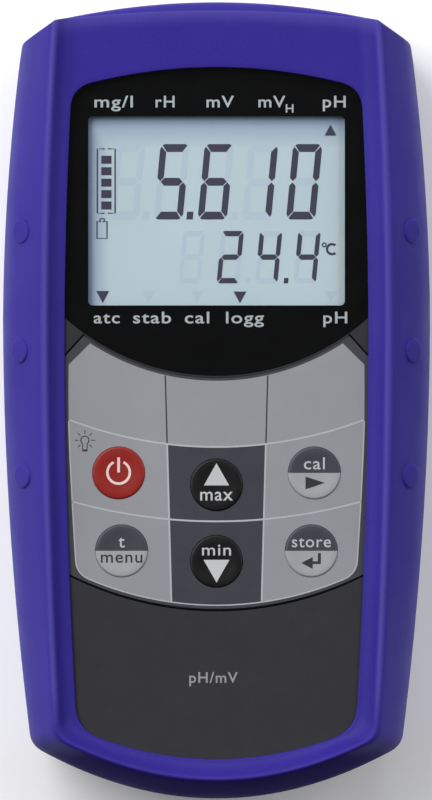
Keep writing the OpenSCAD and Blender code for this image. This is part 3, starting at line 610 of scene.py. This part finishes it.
NODE_MAT = {
    "front_shell": "housing", "rear_shell": "housing", "battery_door": "housing", "shell_gasket": "seal",
    "door_gasket": "seal", "display_window": "window", "window_mask": "mask", "keypad_foil": "foil_base",
    "dome_sheet": "film", "snap_domes": "steel", "lcd_glass": "lcd", "lcd_frame": "inner",
    "backlight_panel": "diffuser", "zebra_strips": "zebra", "main_pcb": "pcb", "pcb_chips": "chip",
    "pcb_screws": "screw", "buzzer": "inner", "end_panel": "panel", "bnc_barrel": "nickel",
    "bnc_insulator": "insulator", "bnc_contact": "gold", "bnc_nut": "nickel", "banana_collar_a": "red",
    "banana_collar_b": "black", "banana_sleeve_a": "brass", "banana_sleeve_b": "brass",
    "banana_nuts": "nickel", "jack_bushing": "nickel", "jack_body": "inner", "cell_left": "cell",
    "cell_right": "cell", "cell_contacts": "steel", "door_screws": "screw", "housing_screws": "screw",
    "clip": "clip", "clip_pin": "steel", "rating_plate": "plate",
}
BEVEL = {"display_window": 0.15, "battery_door": 0.3, "clip": 0.35, "end_panel": 0.2, "bnc_barrel": 0.15,
         "banana_collar_a": 0.25, "banana_collar_b": 0.25, "jack_bushing": 0.15, "banana_sleeve_a": 0.15,
         "banana_sleeve_b": 0.15, "rating_plate": 0.06, "housing_screws": 0.1, "door_screws": 0.08,
         "clip_pin": 0.15}
for name, ob in NODES.items():
    if name not in NODE_MAT:
        continue
    ob.data.materials.clear()
    ob.data.materials.append(M[NODE_MAT[name]])
    if name in BEVEL:
        b = ob.modifiers.new("edge", "BEVEL")
        b.width = BEVEL[name] * MM
        b.segments = 2
        b.limit_method = "ANGLE"
        b.angle_limit = math.radians(50)
        b.harden_normals = False
    shade(ob.data, 30)

# ---------------------------------------------------------------- boot
# Fall of the skin below the ridge, by the way from RIDGE to OUTER.
SIDE_FALL = [(0, 0), (0.1, 0.25), (0.22, 1.2), (0.4, 3), (0.6, 5.2), (0.8, 8), (0.92, 11), (0.98, 14),
             (1, 17)]
MOUTH_FALL = [(0, 0), (0.4, 0.25), (0.6, 0.6), (0.8, 1.2), (0.92, 2.2), (0.98, 4)]
# Levels, each with the way from one outline to the next.
FRONT_ST = [[22, 0.04], [27, 0.2], [31, 0.6]]
BACK_ST = [[10, 0.06], [5, 0.35], [2.4, 0.72]]
BOOT_BACK = [[11, 0.06], [5, 0.3], [1.8, 0.62], [0.4, 0.88], [0, 1]]
RIM_STEPS = (0.06, 0.15, 0.3, 0.45, 0.6, 0.72, 0.83, 0.92, 1)
FLANK_STEPS = (0.1, 0.22, 0.4, 0.6, 0.8, 0.92, 0.98)
FINER = 3                # smooth rings for each ring given here
HALF_W, HALF_L, HEAD_Y, TOP_Z = 42.99, 80, 79.97, 37     # just inside the CAD box


def flat_ring(L, z):
    return [[x, y, z] for x, y in outline(L)]


lip_o, ridge_o, outer_o = outline(LIP), outline(RIDGE), outline(OUTER)


def front_ring(t):
    """Ring t of the way from the lip to the ridge."""
    out = []
    for a, b in zip(lip_o, ridge_o):
        x, y = mixv(a, b, t)
        out.append([x, y, front_z(x, y, t)])
    return out


def flank_ring(s):
    """Ring s of the way from the ridge to the widest outline."""
    out = []
    for a, b in zip(ridge_o, outer_o):
        x, y = mixv(a, b, s)
        r = ridged(*a)
        w = ease((y + 10) / 20)
        u = s + (share(x, y, RIDGE, OUTER) - s) * w
        edge = 0.6 * w * (max(0, s - 0.8) / 0.2) ** 2
        mouth, side = lookup(s, MOUTH_FALL), lookup(u, SIDE_FALL) + edge
        out.append([x, y, front_z(a[0], a[1], 1) - mouth - (side - mouth) * r])
    return out


def boot_mesh():
    """One closed skin: lip, front, ridge, flank, back, then the hollow that holds the housing."""
    outside = [front_ring(t) for t in RIM_STEPS]
    outside += [flank_ring(s) for s in FLANK_STEPS] + [flat_ring(OUTER, 18.5)]
    outside += [flat_ring(mixv(OUTER, BACK_EDGE, s[1]), s[0]) for s in BOOT_BACK]
    rings = [flat_ring(LIP, LIP_Z), flat_ring(LIP, LIP_TOP - 0.3)]
    rings.append([[x, y, LIP_TOP - 0.08] for x, y in outline(inset(LIP, -0.1))])
    first, crest = len(rings), len(RIM_STEPS) - 1
    rings += smooth_rings(outside, FINER)
    last = len(rings)
    rings += [flat_ring(BACK_LIP, 0), flat_ring(BACK_LIP, BACK_Z - GAP)]
    rings.append(flat_ring(inset(HOUSE_BACK, -GAP), BACK_Z - GAP))
    rings += [flat_ring(inset(mixv(HOUSE, HOUSE_BACK, s[1]), -GAP), s[0]) for s in BACK_ST[::-1]]
    rings.append(flat_ring(inset(HOUSE, -GAP), SPLIT_Z))
    rings += [flat_ring(inset(mixv(HOUSE, HOUSE_FRONT, s[1]), -GAP), s[0]) for s in FRONT_ST]
    rings.append(flat_ring(inset(HOUSE_FRONT, -GAP), LIP_Z))
    n, m = len(rings[0]), len(rings)
    verts = []
    for r in rings:
        for x, y, z in r:
            verts.append((max(-HALF_W, min(HALF_W, x)), max(-HALF_L, min(HEAD_Y, y)), max(0, min(TOP_Z, z))))
    faces = []
    for k in range(m):
        for i in range(n):
            j = (i + 1) % n
            k2 = (k + 1) % m
            faces.append((k * n + i, k * n + j, k2 * n + j, k2 * n + i))
    me = mesh_of(verts, faces, "boot_skin")
    crest_highlight = me.attributes.new("crest_highlight", "FLOAT", "POINT")
    dark = me.attributes.new("foot_shade", "FLOAT", "POINT")
    for k in range(first, last):
        q = (k - first) / FINER - crest          # rings past the crest
        near = ease(1 + q / 3) if q < 0 else ease(1 - q / 1.3)
        for i, (x, y, z) in enumerate(rings[k]):
            # painted highlight: strongest at the ridge crest, fading off towards the foot
            crest_highlight.data[k * n + i].value = near * ease((y + 68) / 12)
            dark.data[k * n + i].value = ease((q + 0.3) / 1.5) * ease((-66 - y) / 6)
    return me


def rounded_xz(x0, z0, x1, z1, r, n=10):
    pts = []
    middles = ((x1 - r, z1 - r, 0), (x0 + r, z1 - r, 90), (x0 + r, z0 + r, 180), (x1 - r, z0 + r, 270))
    for cx, cz, a0 in middles:
        for i in range(n + 1):
            a = math.radians(a0 + 90 * i / n)
            pts.append((cx + r * math.cos(a), cz + r * math.sin(a)))
    return pts


def cutter(sections, name):
    """A solid along Y through cross-sections [(y, points in x and z)]."""
    n = len(sections[0][1])
    verts = [(x, y, z) for y, pts in sections for x, z in pts]
    faces = [tuple(range(n)), tuple(range(len(verts) - 1, len(verts) - n - 1, -1))]
    for k in range(len(sections) - 1):
        for i in range(n):
            j = (i + 1) % n
            faces.append((k * n + i, (k + 1) * n + i, (k + 1) * n + j, k * n + j))
    me = mesh_of(verts, faces, name)
    weld(me)
    ob = bpy.data.objects.new(name, me)
    bpy.context.scene.collection.objects.link(ob)
    return ob


boot_me = boot_mesh()
weld(boot_me)
boot = bpy.data.objects.new("boot_skin", boot_me)
bpy.context.scene.collection.objects.link(boot)
bay_section = rounded_xz(-32.5, 5, 32.5, 31.3, 4)
bay = cutter([(68, bay_section), (78.2, bay_section), (79.4, rounded_xz(-32.8, 4.7, 32.8, 31.6, 4.3)),
              (81, rounded_xz(-34, 3.5, 34, 32.8, 5.5))], "bay_cut")
channel_section = rounded_xz(-9.6, -1, 9.6, 6, 0.4, 3)
channel = cutter([(60, channel_section), (82, channel_section)], "channel_cut")
for c in (bay, channel):
    mod = boot.modifiers.new("cut", "BOOLEAN")
    mod.operation = "DIFFERENCE"
    mod.solver = "EXACT"
    mod.object = c
boot_me = applied(boot)
for c in (bay, channel):
    bpy.data.objects.remove(c)
boot_me.materials.clear()
boot_me.materials.append(M["boot"])
shade(boot_me, 42)
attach(boot, "meter")
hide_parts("boot")


def lathe(profile, n=64):
    """Closed solid of revolution about Z from (r, z) points that start and end on the axis."""
    verts, faces, rows = [], [], []
    turns = [2 * math.pi * i / n for i in range(n)]
    for r, z in profile:
        if r < 1e-6:
            rows.append([len(verts)] * n)
            verts.append((0, 0, z))
        else:
            rows.append(list(range(len(verts), len(verts) + n)))
            verts += [(r * math.cos(a), r * math.sin(a), z) for a in turns]
    for a, b in zip(rows, rows[1:]):
        for i in range(n):
            j = (i + 1) % n
            f = []
            for v in (a[i], a[j], b[j], b[i]):
                if v not in f:
                    f.append(v)
            if len(f) > 2:
                faces.append(tuple(f))
    return verts, faces


STUD_PROFILE = [(0, -1.5), (2.5, -1.5), (2.5, 0.15), (2.42, 0.32), (2.25, 0.43), (2.0, 0.48), (1.2, 0.5),
                (0, 0.5)]
STUD_YS = (34, 10, -15)
STUD_Z = RIDGE_Z - 5
STUD_SHARE = 0.58        # way from the ridge to the widest outline
STUD_TILT = 49           # the flank's slope there, degrees


def stud_mesh():
    verts, faces = lathe(STUD_PROFILE, 48)
    parts = []
    for side in (-1, 1):
        for y in STUD_YS:
            x = side_x(RIDGE, y) + (side_x(OUTER, y) - side_x(RIDGE, y)) * STUD_SHARE
            me = mesh_of(verts, faces, "stud")
            me.transform(Matrix.Translation((side * x * MM, y * MM, STUD_Z * MM))
                         @ Matrix.Rotation(math.radians(side * STUD_TILT), 4, "Y"))
            parts.append(me)
    me = joined("grip_studs", parts)
    weld(me)
    return me


link("grip_studs", stud_mesh(), M["boot"], "meter", 40)


# ---------------------------------------------------------------- keys
KEY_PROFILE = [(0, 27.0), (1.9, 27.0), (2.0, 27.1), (2.0, 30.0), (6.3, 30.0), (6.4, 30.1), (6.4, 30.85),
               (6.35, 30.9), (5.2, 30.9), (5.2, 32.6), (5.27, 32.8), (5.27, 33.5), (5.2, 33.62), (5.1, 33.72),
               (4.98, 33.78), (4.8, 33.8)]
DISH_EDGE, DISH_RINGS = 4.05, 9
SPLIT_FROM_Z = 33.0      # a two-tone key has its light half from here up


def dish_z(r):
    """Height of a key's hollow top, r from its middle."""
    return min(KEY_TOP, KEY_TOP + DISH_R - DISH_DEPTH - math.sqrt(DISH_R ** 2 - r * r))


def key_mesh(name, at):
    radii = [DISH_EDGE * (1 - i / DISH_RINGS) for i in range(DISH_RINGS)] + [0]
    verts, faces = lathe(KEY_PROFILE + [(r, dish_z(r)) for r in radii], 96)
    me = mesh_of([(x + at[0], y + at[1], z) for x, y, z in verts], faces, name)
    weld(me)
    return me


def on_key(me, at, lift=0.03):
    """Lays flat artwork, whose top is at z 0, on a key's dished top."""
    for v in me.vertices:
        x, y = v.co.x / MM, v.co.y / MM
        v.co.z += (dish_z(math.hypot(x, y)) + lift) * MM
    me.transform(Matrix.Translation((at[0] * MM, at[1] * MM, 0)))
    return me


PLAIN_KEYS = {"power": "key_red", "up": "key_black", "down": "key_black"}
for k, at in KEYS.items():
    me = key_mesh("cap_" + k, at)
    names = [PLAIN_KEYS[k]] if k in PLAIN_KEYS else ["key_slate", "key_light"]
    ob = link("cap_" + k, me, [M[n] for n in names], "key_" + k, 30)
    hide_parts("key_" + k)
    if len(names) > 1:
        for p in me.polygons:
            if p.center.y < at[1] * MM and p.center.z > SPLIT_FROM_Z * MM:
                p.material_index = 1


def flat(loops, depth=0.03):
    return prism("a", loops, -depth, 0)


def label(s, cap_h, x, y, bold=0.006, width=None):
    return placed(text_mesh(s, cap_h, bold, width=width, spacing=1.1), x, y, -0.015)


def art(name, meshes, at, mat, body):
    """Joins flat artwork and lays it on the key at this place."""
    me = joined(name, meshes)
    on_key(me, at)
    link(name, me, M[mat], body, 30)


power = [flat([ring_arc(0, 0.1, 2.25, 0.5, 116, 424)]), flat([line([(0, 0.1), (0, 3.1)], 0.55)])]
art("sign_power", power, KEYS["power"], "ink_pink", "key_power")
art("legend_up", [flat([[(-2.53, -0.1), (2.53, -0.1), (0, 4.35)]]), label("max", 2.6, 0, -3.1, width=6.5)],
    KEYS["up"], "ink_white", "key_up")
art("legend_down", [flat([[(-2.6, 0.3), (0, -4.25), (2.6, 0.3)]]), label("min", 2.3, 0, 1.2, width=5.8)],
    KEYS["down"], "ink_white", "key_down")
art("legend_cal", [label("cal", 2.4, 0, 0.75, width=4.2)],
    KEYS["cal"], "ink_light", "key_cal")
art("sign_cal", [flat([[(-1.77, -3.25), (2.05, -1.97), (-1.77, -0.74)]])],
    KEYS["cal"], "ink_dark", "key_cal")
art("legend_menu_t", [label("t", 2.5, 0, 0.7)], KEYS["menu"], "ink_light", "key_menu")
art("legend_menu", [label("menu", 2.4, 0, -2.35, width=8.3)],
    KEYS["menu"], "ink_dark", "key_menu")
art("legend_store", [label("store", 2.3, 0, 0.75, width=7.8)],
    KEYS["store"], "ink_light", "key_store")
arrow = [flat([line([(1.6, -0.45), (1.6, -2.62)], 0.57)]), flat([line([(1.6, -2.36), (0.1, -2.36)], 0.52)]),
         flat([[(-2.0, -2.42), (0.25, -1.25), (0.25, -3.6)]])]
art("sign_store", arrow, KEYS["store"], "ink_dark", "key_store")

# ---------------------------------------------------------------- keypad artwork
# Levels of the print's layers on the foil.
FIELD_TOP, CELL_TOP = FACE_Z + 0.02, FACE_Z + 0.035
DARK_TOP, PALE_TOP = FACE_Z + 0.045, FACE_Z + 0.05
PALE_W, EDGE_W, DARK_W = 0.34, 0.24, 0.26      # widths of the printed lines


def row1(x):
    """Line above the upper row of keys."""
    return -9.2 + 83 - math.sqrt(83 ** 2 - x * x)


def row2(x):
    """Line between the two rows of keys."""
    return -24.1 + 108 - math.sqrt(108 ** 2 - x * x)


def foot_arc(x):
    """Foot of the light field."""
    return -40.9 + 65 - math.sqrt(65 ** 2 - x * x)


def head_arc(x):
    """Head of the light field, along the window."""
    return WINDOW_CY - math.sqrt(46.45 ** 2 - x * x)


def divider(y):
    """Half the middle column's width."""
    return 9.05 + (y + 40) * (1.2 / 45)


def field_half():
    h = [(x, head_arc(x)) for x in (25.3 * i / 30 for i in range(31))]
    h += [(29.6, 7.3), (29.65, 2), (29.6, -4), (29.3, -12), (28.8, -22), (28.2, -32)]
    h += [bend((28.2, -32), (28.0, -34.7), (25.4, foot_arc(25.4)), i / 8) for i in range(1, 9)]
    h += [(25.4 * i / 24, foot_arc(25.4 * i / 24)) for i in range(23, -1, -1)]
    return h


half_field = field_half()
field = half_field + [(-x, y) for x, y in half_field[-2:0:-1]]
holes = [circle(at[0], at[1], KEY_R + 0.12) for at in KEYS.values()]
link("foil_field", prism("foil_field", [field] + holes, FACE_Z, FIELD_TOP), M["foil_light"], "meter")


def centre_cell():
    n = 16
    top = [divider(-9) * (2 * i / n - 1) for i in range(n + 1)]
    low = [divider(-40) * (1 - 2 * i / n) for i in range(n + 1)]
    return [(x, row1(x)) for x in top] + [(x, foot_arc(x)) for x in low]


link("foil_centre", prism("foil_centre", [centre_cell()] + [holes[1], holes[4]], FIELD_TOP, CELL_TOP),
     M["foil_dark"], "meter")


def sampled(f, a, b, n=40):
    return [(a + (b - a) * i / n, f(a + (b - a) * i / n)) for i in range(n + 1)]


def column(y0, y1, side, n=10):
    return [(side * divider(y), y) for y in (y0 + (y1 - y0) * i / n for i in range(n + 1))]


def printed(points, w, top):
    """A line of width w along points, printed on the light field."""
    return prism("print", [line(points, w)], FIELD_TOP, top)


pale = [printed(sampled(row1, -29.4, 29.4), PALE_W, PALE_TOP),
        printed(sampled(row2, -28.9, 28.9), PALE_W, PALE_TOP)]
for side in (-1, 1):
    for y0, y1 in ((row1(9.9) - 0.17, row2(9.5) + 0.17), (row2(9.5) - 0.17, foot_arc(9) + 0.1)):
        pale.append(printed(column(y0, y1, side), PALE_W, PALE_TOP))
edge = [p for p in half_field if p[1] < row1(29)]
for side in (-1, 1):
    pale.append(printed([(side * x, y) for x, y in edge], EDGE_W, PALE_TOP))
link("foil_lines", joined("foil_lines", pale), M["ink_line"], "meter")
dark = [printed(column(head_arc(10.2) - 0.1, row1(9.9) + 0.17, side), DARK_W, DARK_TOP) for side in (-1, 1)]
link("foil_dividers", joined("foil_dividers", dark), M["ink_dark"], "meter")


def bulb(cx, cy):
    """Sign of a shining lamp."""
    parts = [ring_arc(cx, cy, 0.82, 0.2, -57, 237, 30),
             line([(cx - 0.45, cy - 0.7), (cx - 0.45, cy - 1.85)], 0.18),
             line([(cx + 0.45, cy - 0.7), (cx + 0.45, cy - 1.85)], 0.18),
             line([(cx - 0.5, cy - 2.05), (cx + 0.5, cy - 2.05)], 0.4)]
    for a in (0, 45, 90, 135, 180, 225, 315):
        c, s = math.cos(math.radians(a)), math.sin(math.radians(a))
        parts.append(line([(cx + 1.3 * c, cy + 1.3 * s), (cx + 2.0 * c, cy + 2.0 * s)], 0.17))
    return parts


lamp = [prism("lamp", [p], FIELD_TOP, DARK_TOP) for p in bulb(-26.35, -7.85)]
link("sign_light", joined("sign_light", lamp), M["ink_dark"], "meter")

# painted shade: flat black strips along the foil's foot edge and the two grooves beside the window, where
# shadow falls in the grooves
dark_lines = [line(sampled(lambda x: foot_arc(x) - 1.02, -29.5, 29.5, 60), 0.4)]
dark_lines += [line([(side * 26.5, 13.4), (side * 30.4, 9.1)], 0.36) for side in (-1, 1)]
groove_shade_strips = [prism("groove", [p], FACE_Z, FIELD_TOP) for p in dark_lines]
link("groove_shade", joined("groove_shade", groove_shade_strips), M["mask"], "meter")

# ---------------------------------------------------------------- window legends
INK_Z = FACE_Z - 1.2 - 0.03      # just under the window's lens
TOP_LINE, BOTTOM_LINE, CAP_H = 58.85, 15.6, 2.3


def window_text(rows, name, z=INK_Z, ink="ink_light"):
    """rows: (text, middle in x, baseline, capital height, width), all in mm."""
    parts = []
    for s, x, y, h, w in rows:
        parts.append(placed(text_mesh(s, h, 0.012, width=w, spacing=1.12), x, y, z))
    link(name, joined(name, parts), M[ink], "meter")


window_text([("mg/l", -20.6, TOP_LINE, CAP_H, 7.7), ("rH", -10.3, TOP_LINE, CAP_H, 3.8),
             ("mV", 0.75, TOP_LINE, CAP_H, 5.5), ("mV", 11.1, TOP_LINE, CAP_H, 5.4),
             ("H", 14.65, 57.8, 1.65, 1.55), ("pH", 23.6, TOP_LINE, CAP_H, 4.6)], "legend_top")
window_text([("atc", -22, BOTTOM_LINE, CAP_H, 5.2), ("stab", -12.9, BOTTOM_LINE, CAP_H, 7.6),
             ("cal", -3.9, BOTTOM_LINE, CAP_H, 4.9), ("logg", 5.7, BOTTOM_LINE, CAP_H, 7.6),
             ("pH", 23.8, BOTTOM_LINE, CAP_H, 4.8)], "legend_bottom")
window_text([("pH/mV", -0.6, -56.4, 2.1, 9.7)], "legend_foot", FIELD_TOP, "ink_grey")

# ---------------------------------------------------------------- display segments
SEG_Z = 30.8             # level of the segments
SEG_TOP, GHOST_TOP = SEG_Z + 0.05, SEG_Z + 0.02
DIGITS = {"0": "abcdef", "1": "bc", "2": "abged", "3": "abgcd", "4": "fgbc", "5": "afgcd", "6": "afgedc",
          "7": "abc", "8": "abcdefg", "9": "abfgcd"}
SLANT = 0.096
BIG_Y, SMALL_Y = 36.4, 23.6      # feet of the two rows of digits
BIG = {"w": 5.85, "h": 15.1, "bar": 1.56, "post": 1.27}
SMALL = {"w": 4.5, "h": 10.5, "bar": 1.07, "post": 0.9}


def seg_loops(x, y, k, on):
    """Outlines of a digit's segments. Its cell's foot starts at (x, y), and the whole cell leans."""
    w, h, b, p = k["w"], k["h"], k["bar"], k["post"]
    f = b / BIG["bar"]
    m = h / 2
    top = [(0.45 * f, h - 0.25 * f), (0.85 * f, h), (w - 0.85 * f, h), (w - 0.45 * f, h - 0.25 * f),
           (w - p - 0.12 * f, h - b), (p + 0.12 * f, h - b)]
    mid = [(0.72 * f, m), (p + 0.2 * f, m + b / 2), (w - p - 0.2 * f, m + b / 2), (w - 0.72 * f, m),
           (w - p - 0.2 * f, m - b / 2), (p + 0.2 * f, m - b / 2)]
    post = [(0, h - 1.08 * f), (0.28 * f, h - 0.52 * f), (p, h - b - 0.06 * f), (p, m + 0.85 * f),
            (0.6 * f, m + 0.13 * f), (0, m + 0.8 * f)]
    shapes = {"a": top, "g": mid, "f": post, "d": [(px, h - py) for px, py in top],
              "b": [(w - px, py) for px, py in post], "e": [(px, h - py) for px, py in post],
              "c": [(w - px, h - py) for px, py in post]}
    return [[(x + px + SLANT * py, y + py) for px, py in shapes[s]] for s in on]


def number(text, xs, y, k):
    """Outlines of the lit and of the unlit segments of a row of digits."""
    on_loops, off_loops = [], []
    for ch, x in zip(text, xs):
        on = DIGITS.get(ch, "")
        on_loops += seg_loops(x, y, k, on)
        off_loops += seg_loops(x, y, k, [s for s in "abcdefg" if s not in on])
    return on_loops, off_loops


def point(x, y, k):
    w, h = 0.82 * k["bar"], k["bar"]
    return [(x, y), (x + w, y), (x + w + SLANT * h, y + h), (x + SLANT * h, y + h)]


lit, dim = [], []
for args in ((" 5610", (-21.51, -12.65, -3.79, 5.07, 13.93), BIG_Y, BIG),
             (" 244", (-7.7, 0.0, 7.7, 15.4), SMALL_Y, SMALL)):
    a, b = number(*args)
    lit += a
    dim += b
lit += [point(-6.05, BIG_Y, BIG), point(13.46, SMALL_Y, SMALL)]
dim += [point(-14.9, BIG_Y, BIG), point(2.8, BIG_Y, BIG), point(5.8, SMALL_Y, SMALL)]
# bar gauge with its frame
for side in (-1, 1):
    frame_line = [(0.35, 6.45), (1.78, 6.45), (1.78, -6.45), (0.35, -6.45)]
    lit.append(line([(-22.1 + side * x, 44.1 + y) for x, y in frame_line], 0.28))
for i in range(5):
    lit.append(rect(-23.1, 38.4 + i * 2.29, -21.05, 40.0 + i * 2.29))
# cell sign
cell_sign = [(-23.1, 36.0), (-23.95, 36.0), (-23.95, 32.6), (-21.95, 32.6), (-21.95, 36.0), (-22.8, 36.0)]
lit += [line(cell_sign, 0.27), line([(-23.35, 36.0), (-23.35, 36.55), (-22.5, 36.55), (-22.5, 36.0)], 0.27)]
# arrow marks: one up, two down, and three that are unlit
lit += [[(21.65, 53.2), (24.05, 53.2), (22.85, 55.4)], [(-24.1, 22.05), (-22.8, 19.65), (-21.5, 22.05)],
        [(3.4, 21.95), (4.7, 19.6), (6.0, 21.95)]]
dim += [[(x, 22.05), (x + 1.3, 19.65), (x + 2.6, 22.05)] for x in (-14.9, -5.2, 21.6)]
seg = [prism("s", [p], SEG_Z, SEG_TOP) for p in lit]
# degree sign and C
seg += [prism("s", [ring_arc(23.15, 30.45, 1.0, 0.46, 48, 312, 30)], SEG_Z, SEG_TOP),
        prism("s", [circle(21.6, 31.3, 0.5, 24), circle(21.6, 31.3, 0.25, 24)], SEG_Z, SEG_TOP)]
link("display_lit", joined("display_lit", seg), M["segment"], "meter")
ghosts = [prism("g", [p], SEG_Z, GHOST_TOP) for p in dim]
link("display_unlit", joined("display_unlit", ghosts), M["ghost"], "meter")

# ---------------------------------------------------------------- stage and light
FLOOR_HALF = 1500        # mm
FLOOR_DROP = 0.00002     # m below the meter, so that the two don't share a plane
floor_corners = [(x, y, 0) for x, y in rect(-FLOOR_HALF, -FLOOR_HALF, FLOOR_HALF, FLOOR_HALF)]
floor_me = mesh_of(floor_corners, [(0, 1, 2, 3)], "floor")
floor = bpy.data.objects.new("floor", floor_me)
bpy.context.scene.collection.objects.link(floor)
floor.location.z = -FLOOR_DROP
floor_mat = Tree("floor_white")
floor_mat.p.inputs["Base Color"].default_value = (0.93, 0.93, 0.93, 1)
floor_mat.p.inputs["Emission Color"].default_value = (1, 1, 1, 1)
floor_mat.p.inputs["Emission Strength"].default_value = 0.12
floor_mat.p.inputs["Roughness"].default_value = 0.9
floor_mat.p.inputs["Specular IOR Level"].default_value = 0.1
floor_me.materials.append(floor_mat.mat)


def area(name, loc, size, power):
    """Rectangular lamp at loc that faces the meter."""
    li = bpy.data.lights.new(name, "AREA")
    li.shape = "RECTANGLE"
    li.size, li.size_y = size
    li.energy = power
    ob = bpy.data.objects.new(name, li)
    bpy.context.scene.collection.objects.link(ob)
    ob.location = loc
    ob.rotation_mode = "QUATERNION"
    ob.rotation_quaternion = (-Vector(loc)).to_track_quat("-Z", "Y")


area("key_light", (-0.8, 0.7, 1.1), (1.1, 1.0), 21)
area("side_left", (-1.3, 0.05, 0.45), (1.2, 0.5), 5)
area("over_top", (0.15, 1.25, 0.9), (1.3, 0.5), 8)
area("fill_right", (1.1, 0.35, 0.9), (0.9, 0.9), 8)
world = bpy.data.worlds.new("world")
world.use_nodes = True
world.node_tree.nodes["Background"].inputs["Color"].default_value = (0.95, 0.97, 1.0, 1)
world.node_tree.nodes["Background"].inputs["Strength"].default_value = 0.05
bpy.context.scene.world = world
bpy.context.scene.view_settings.view_transform = "Standard"
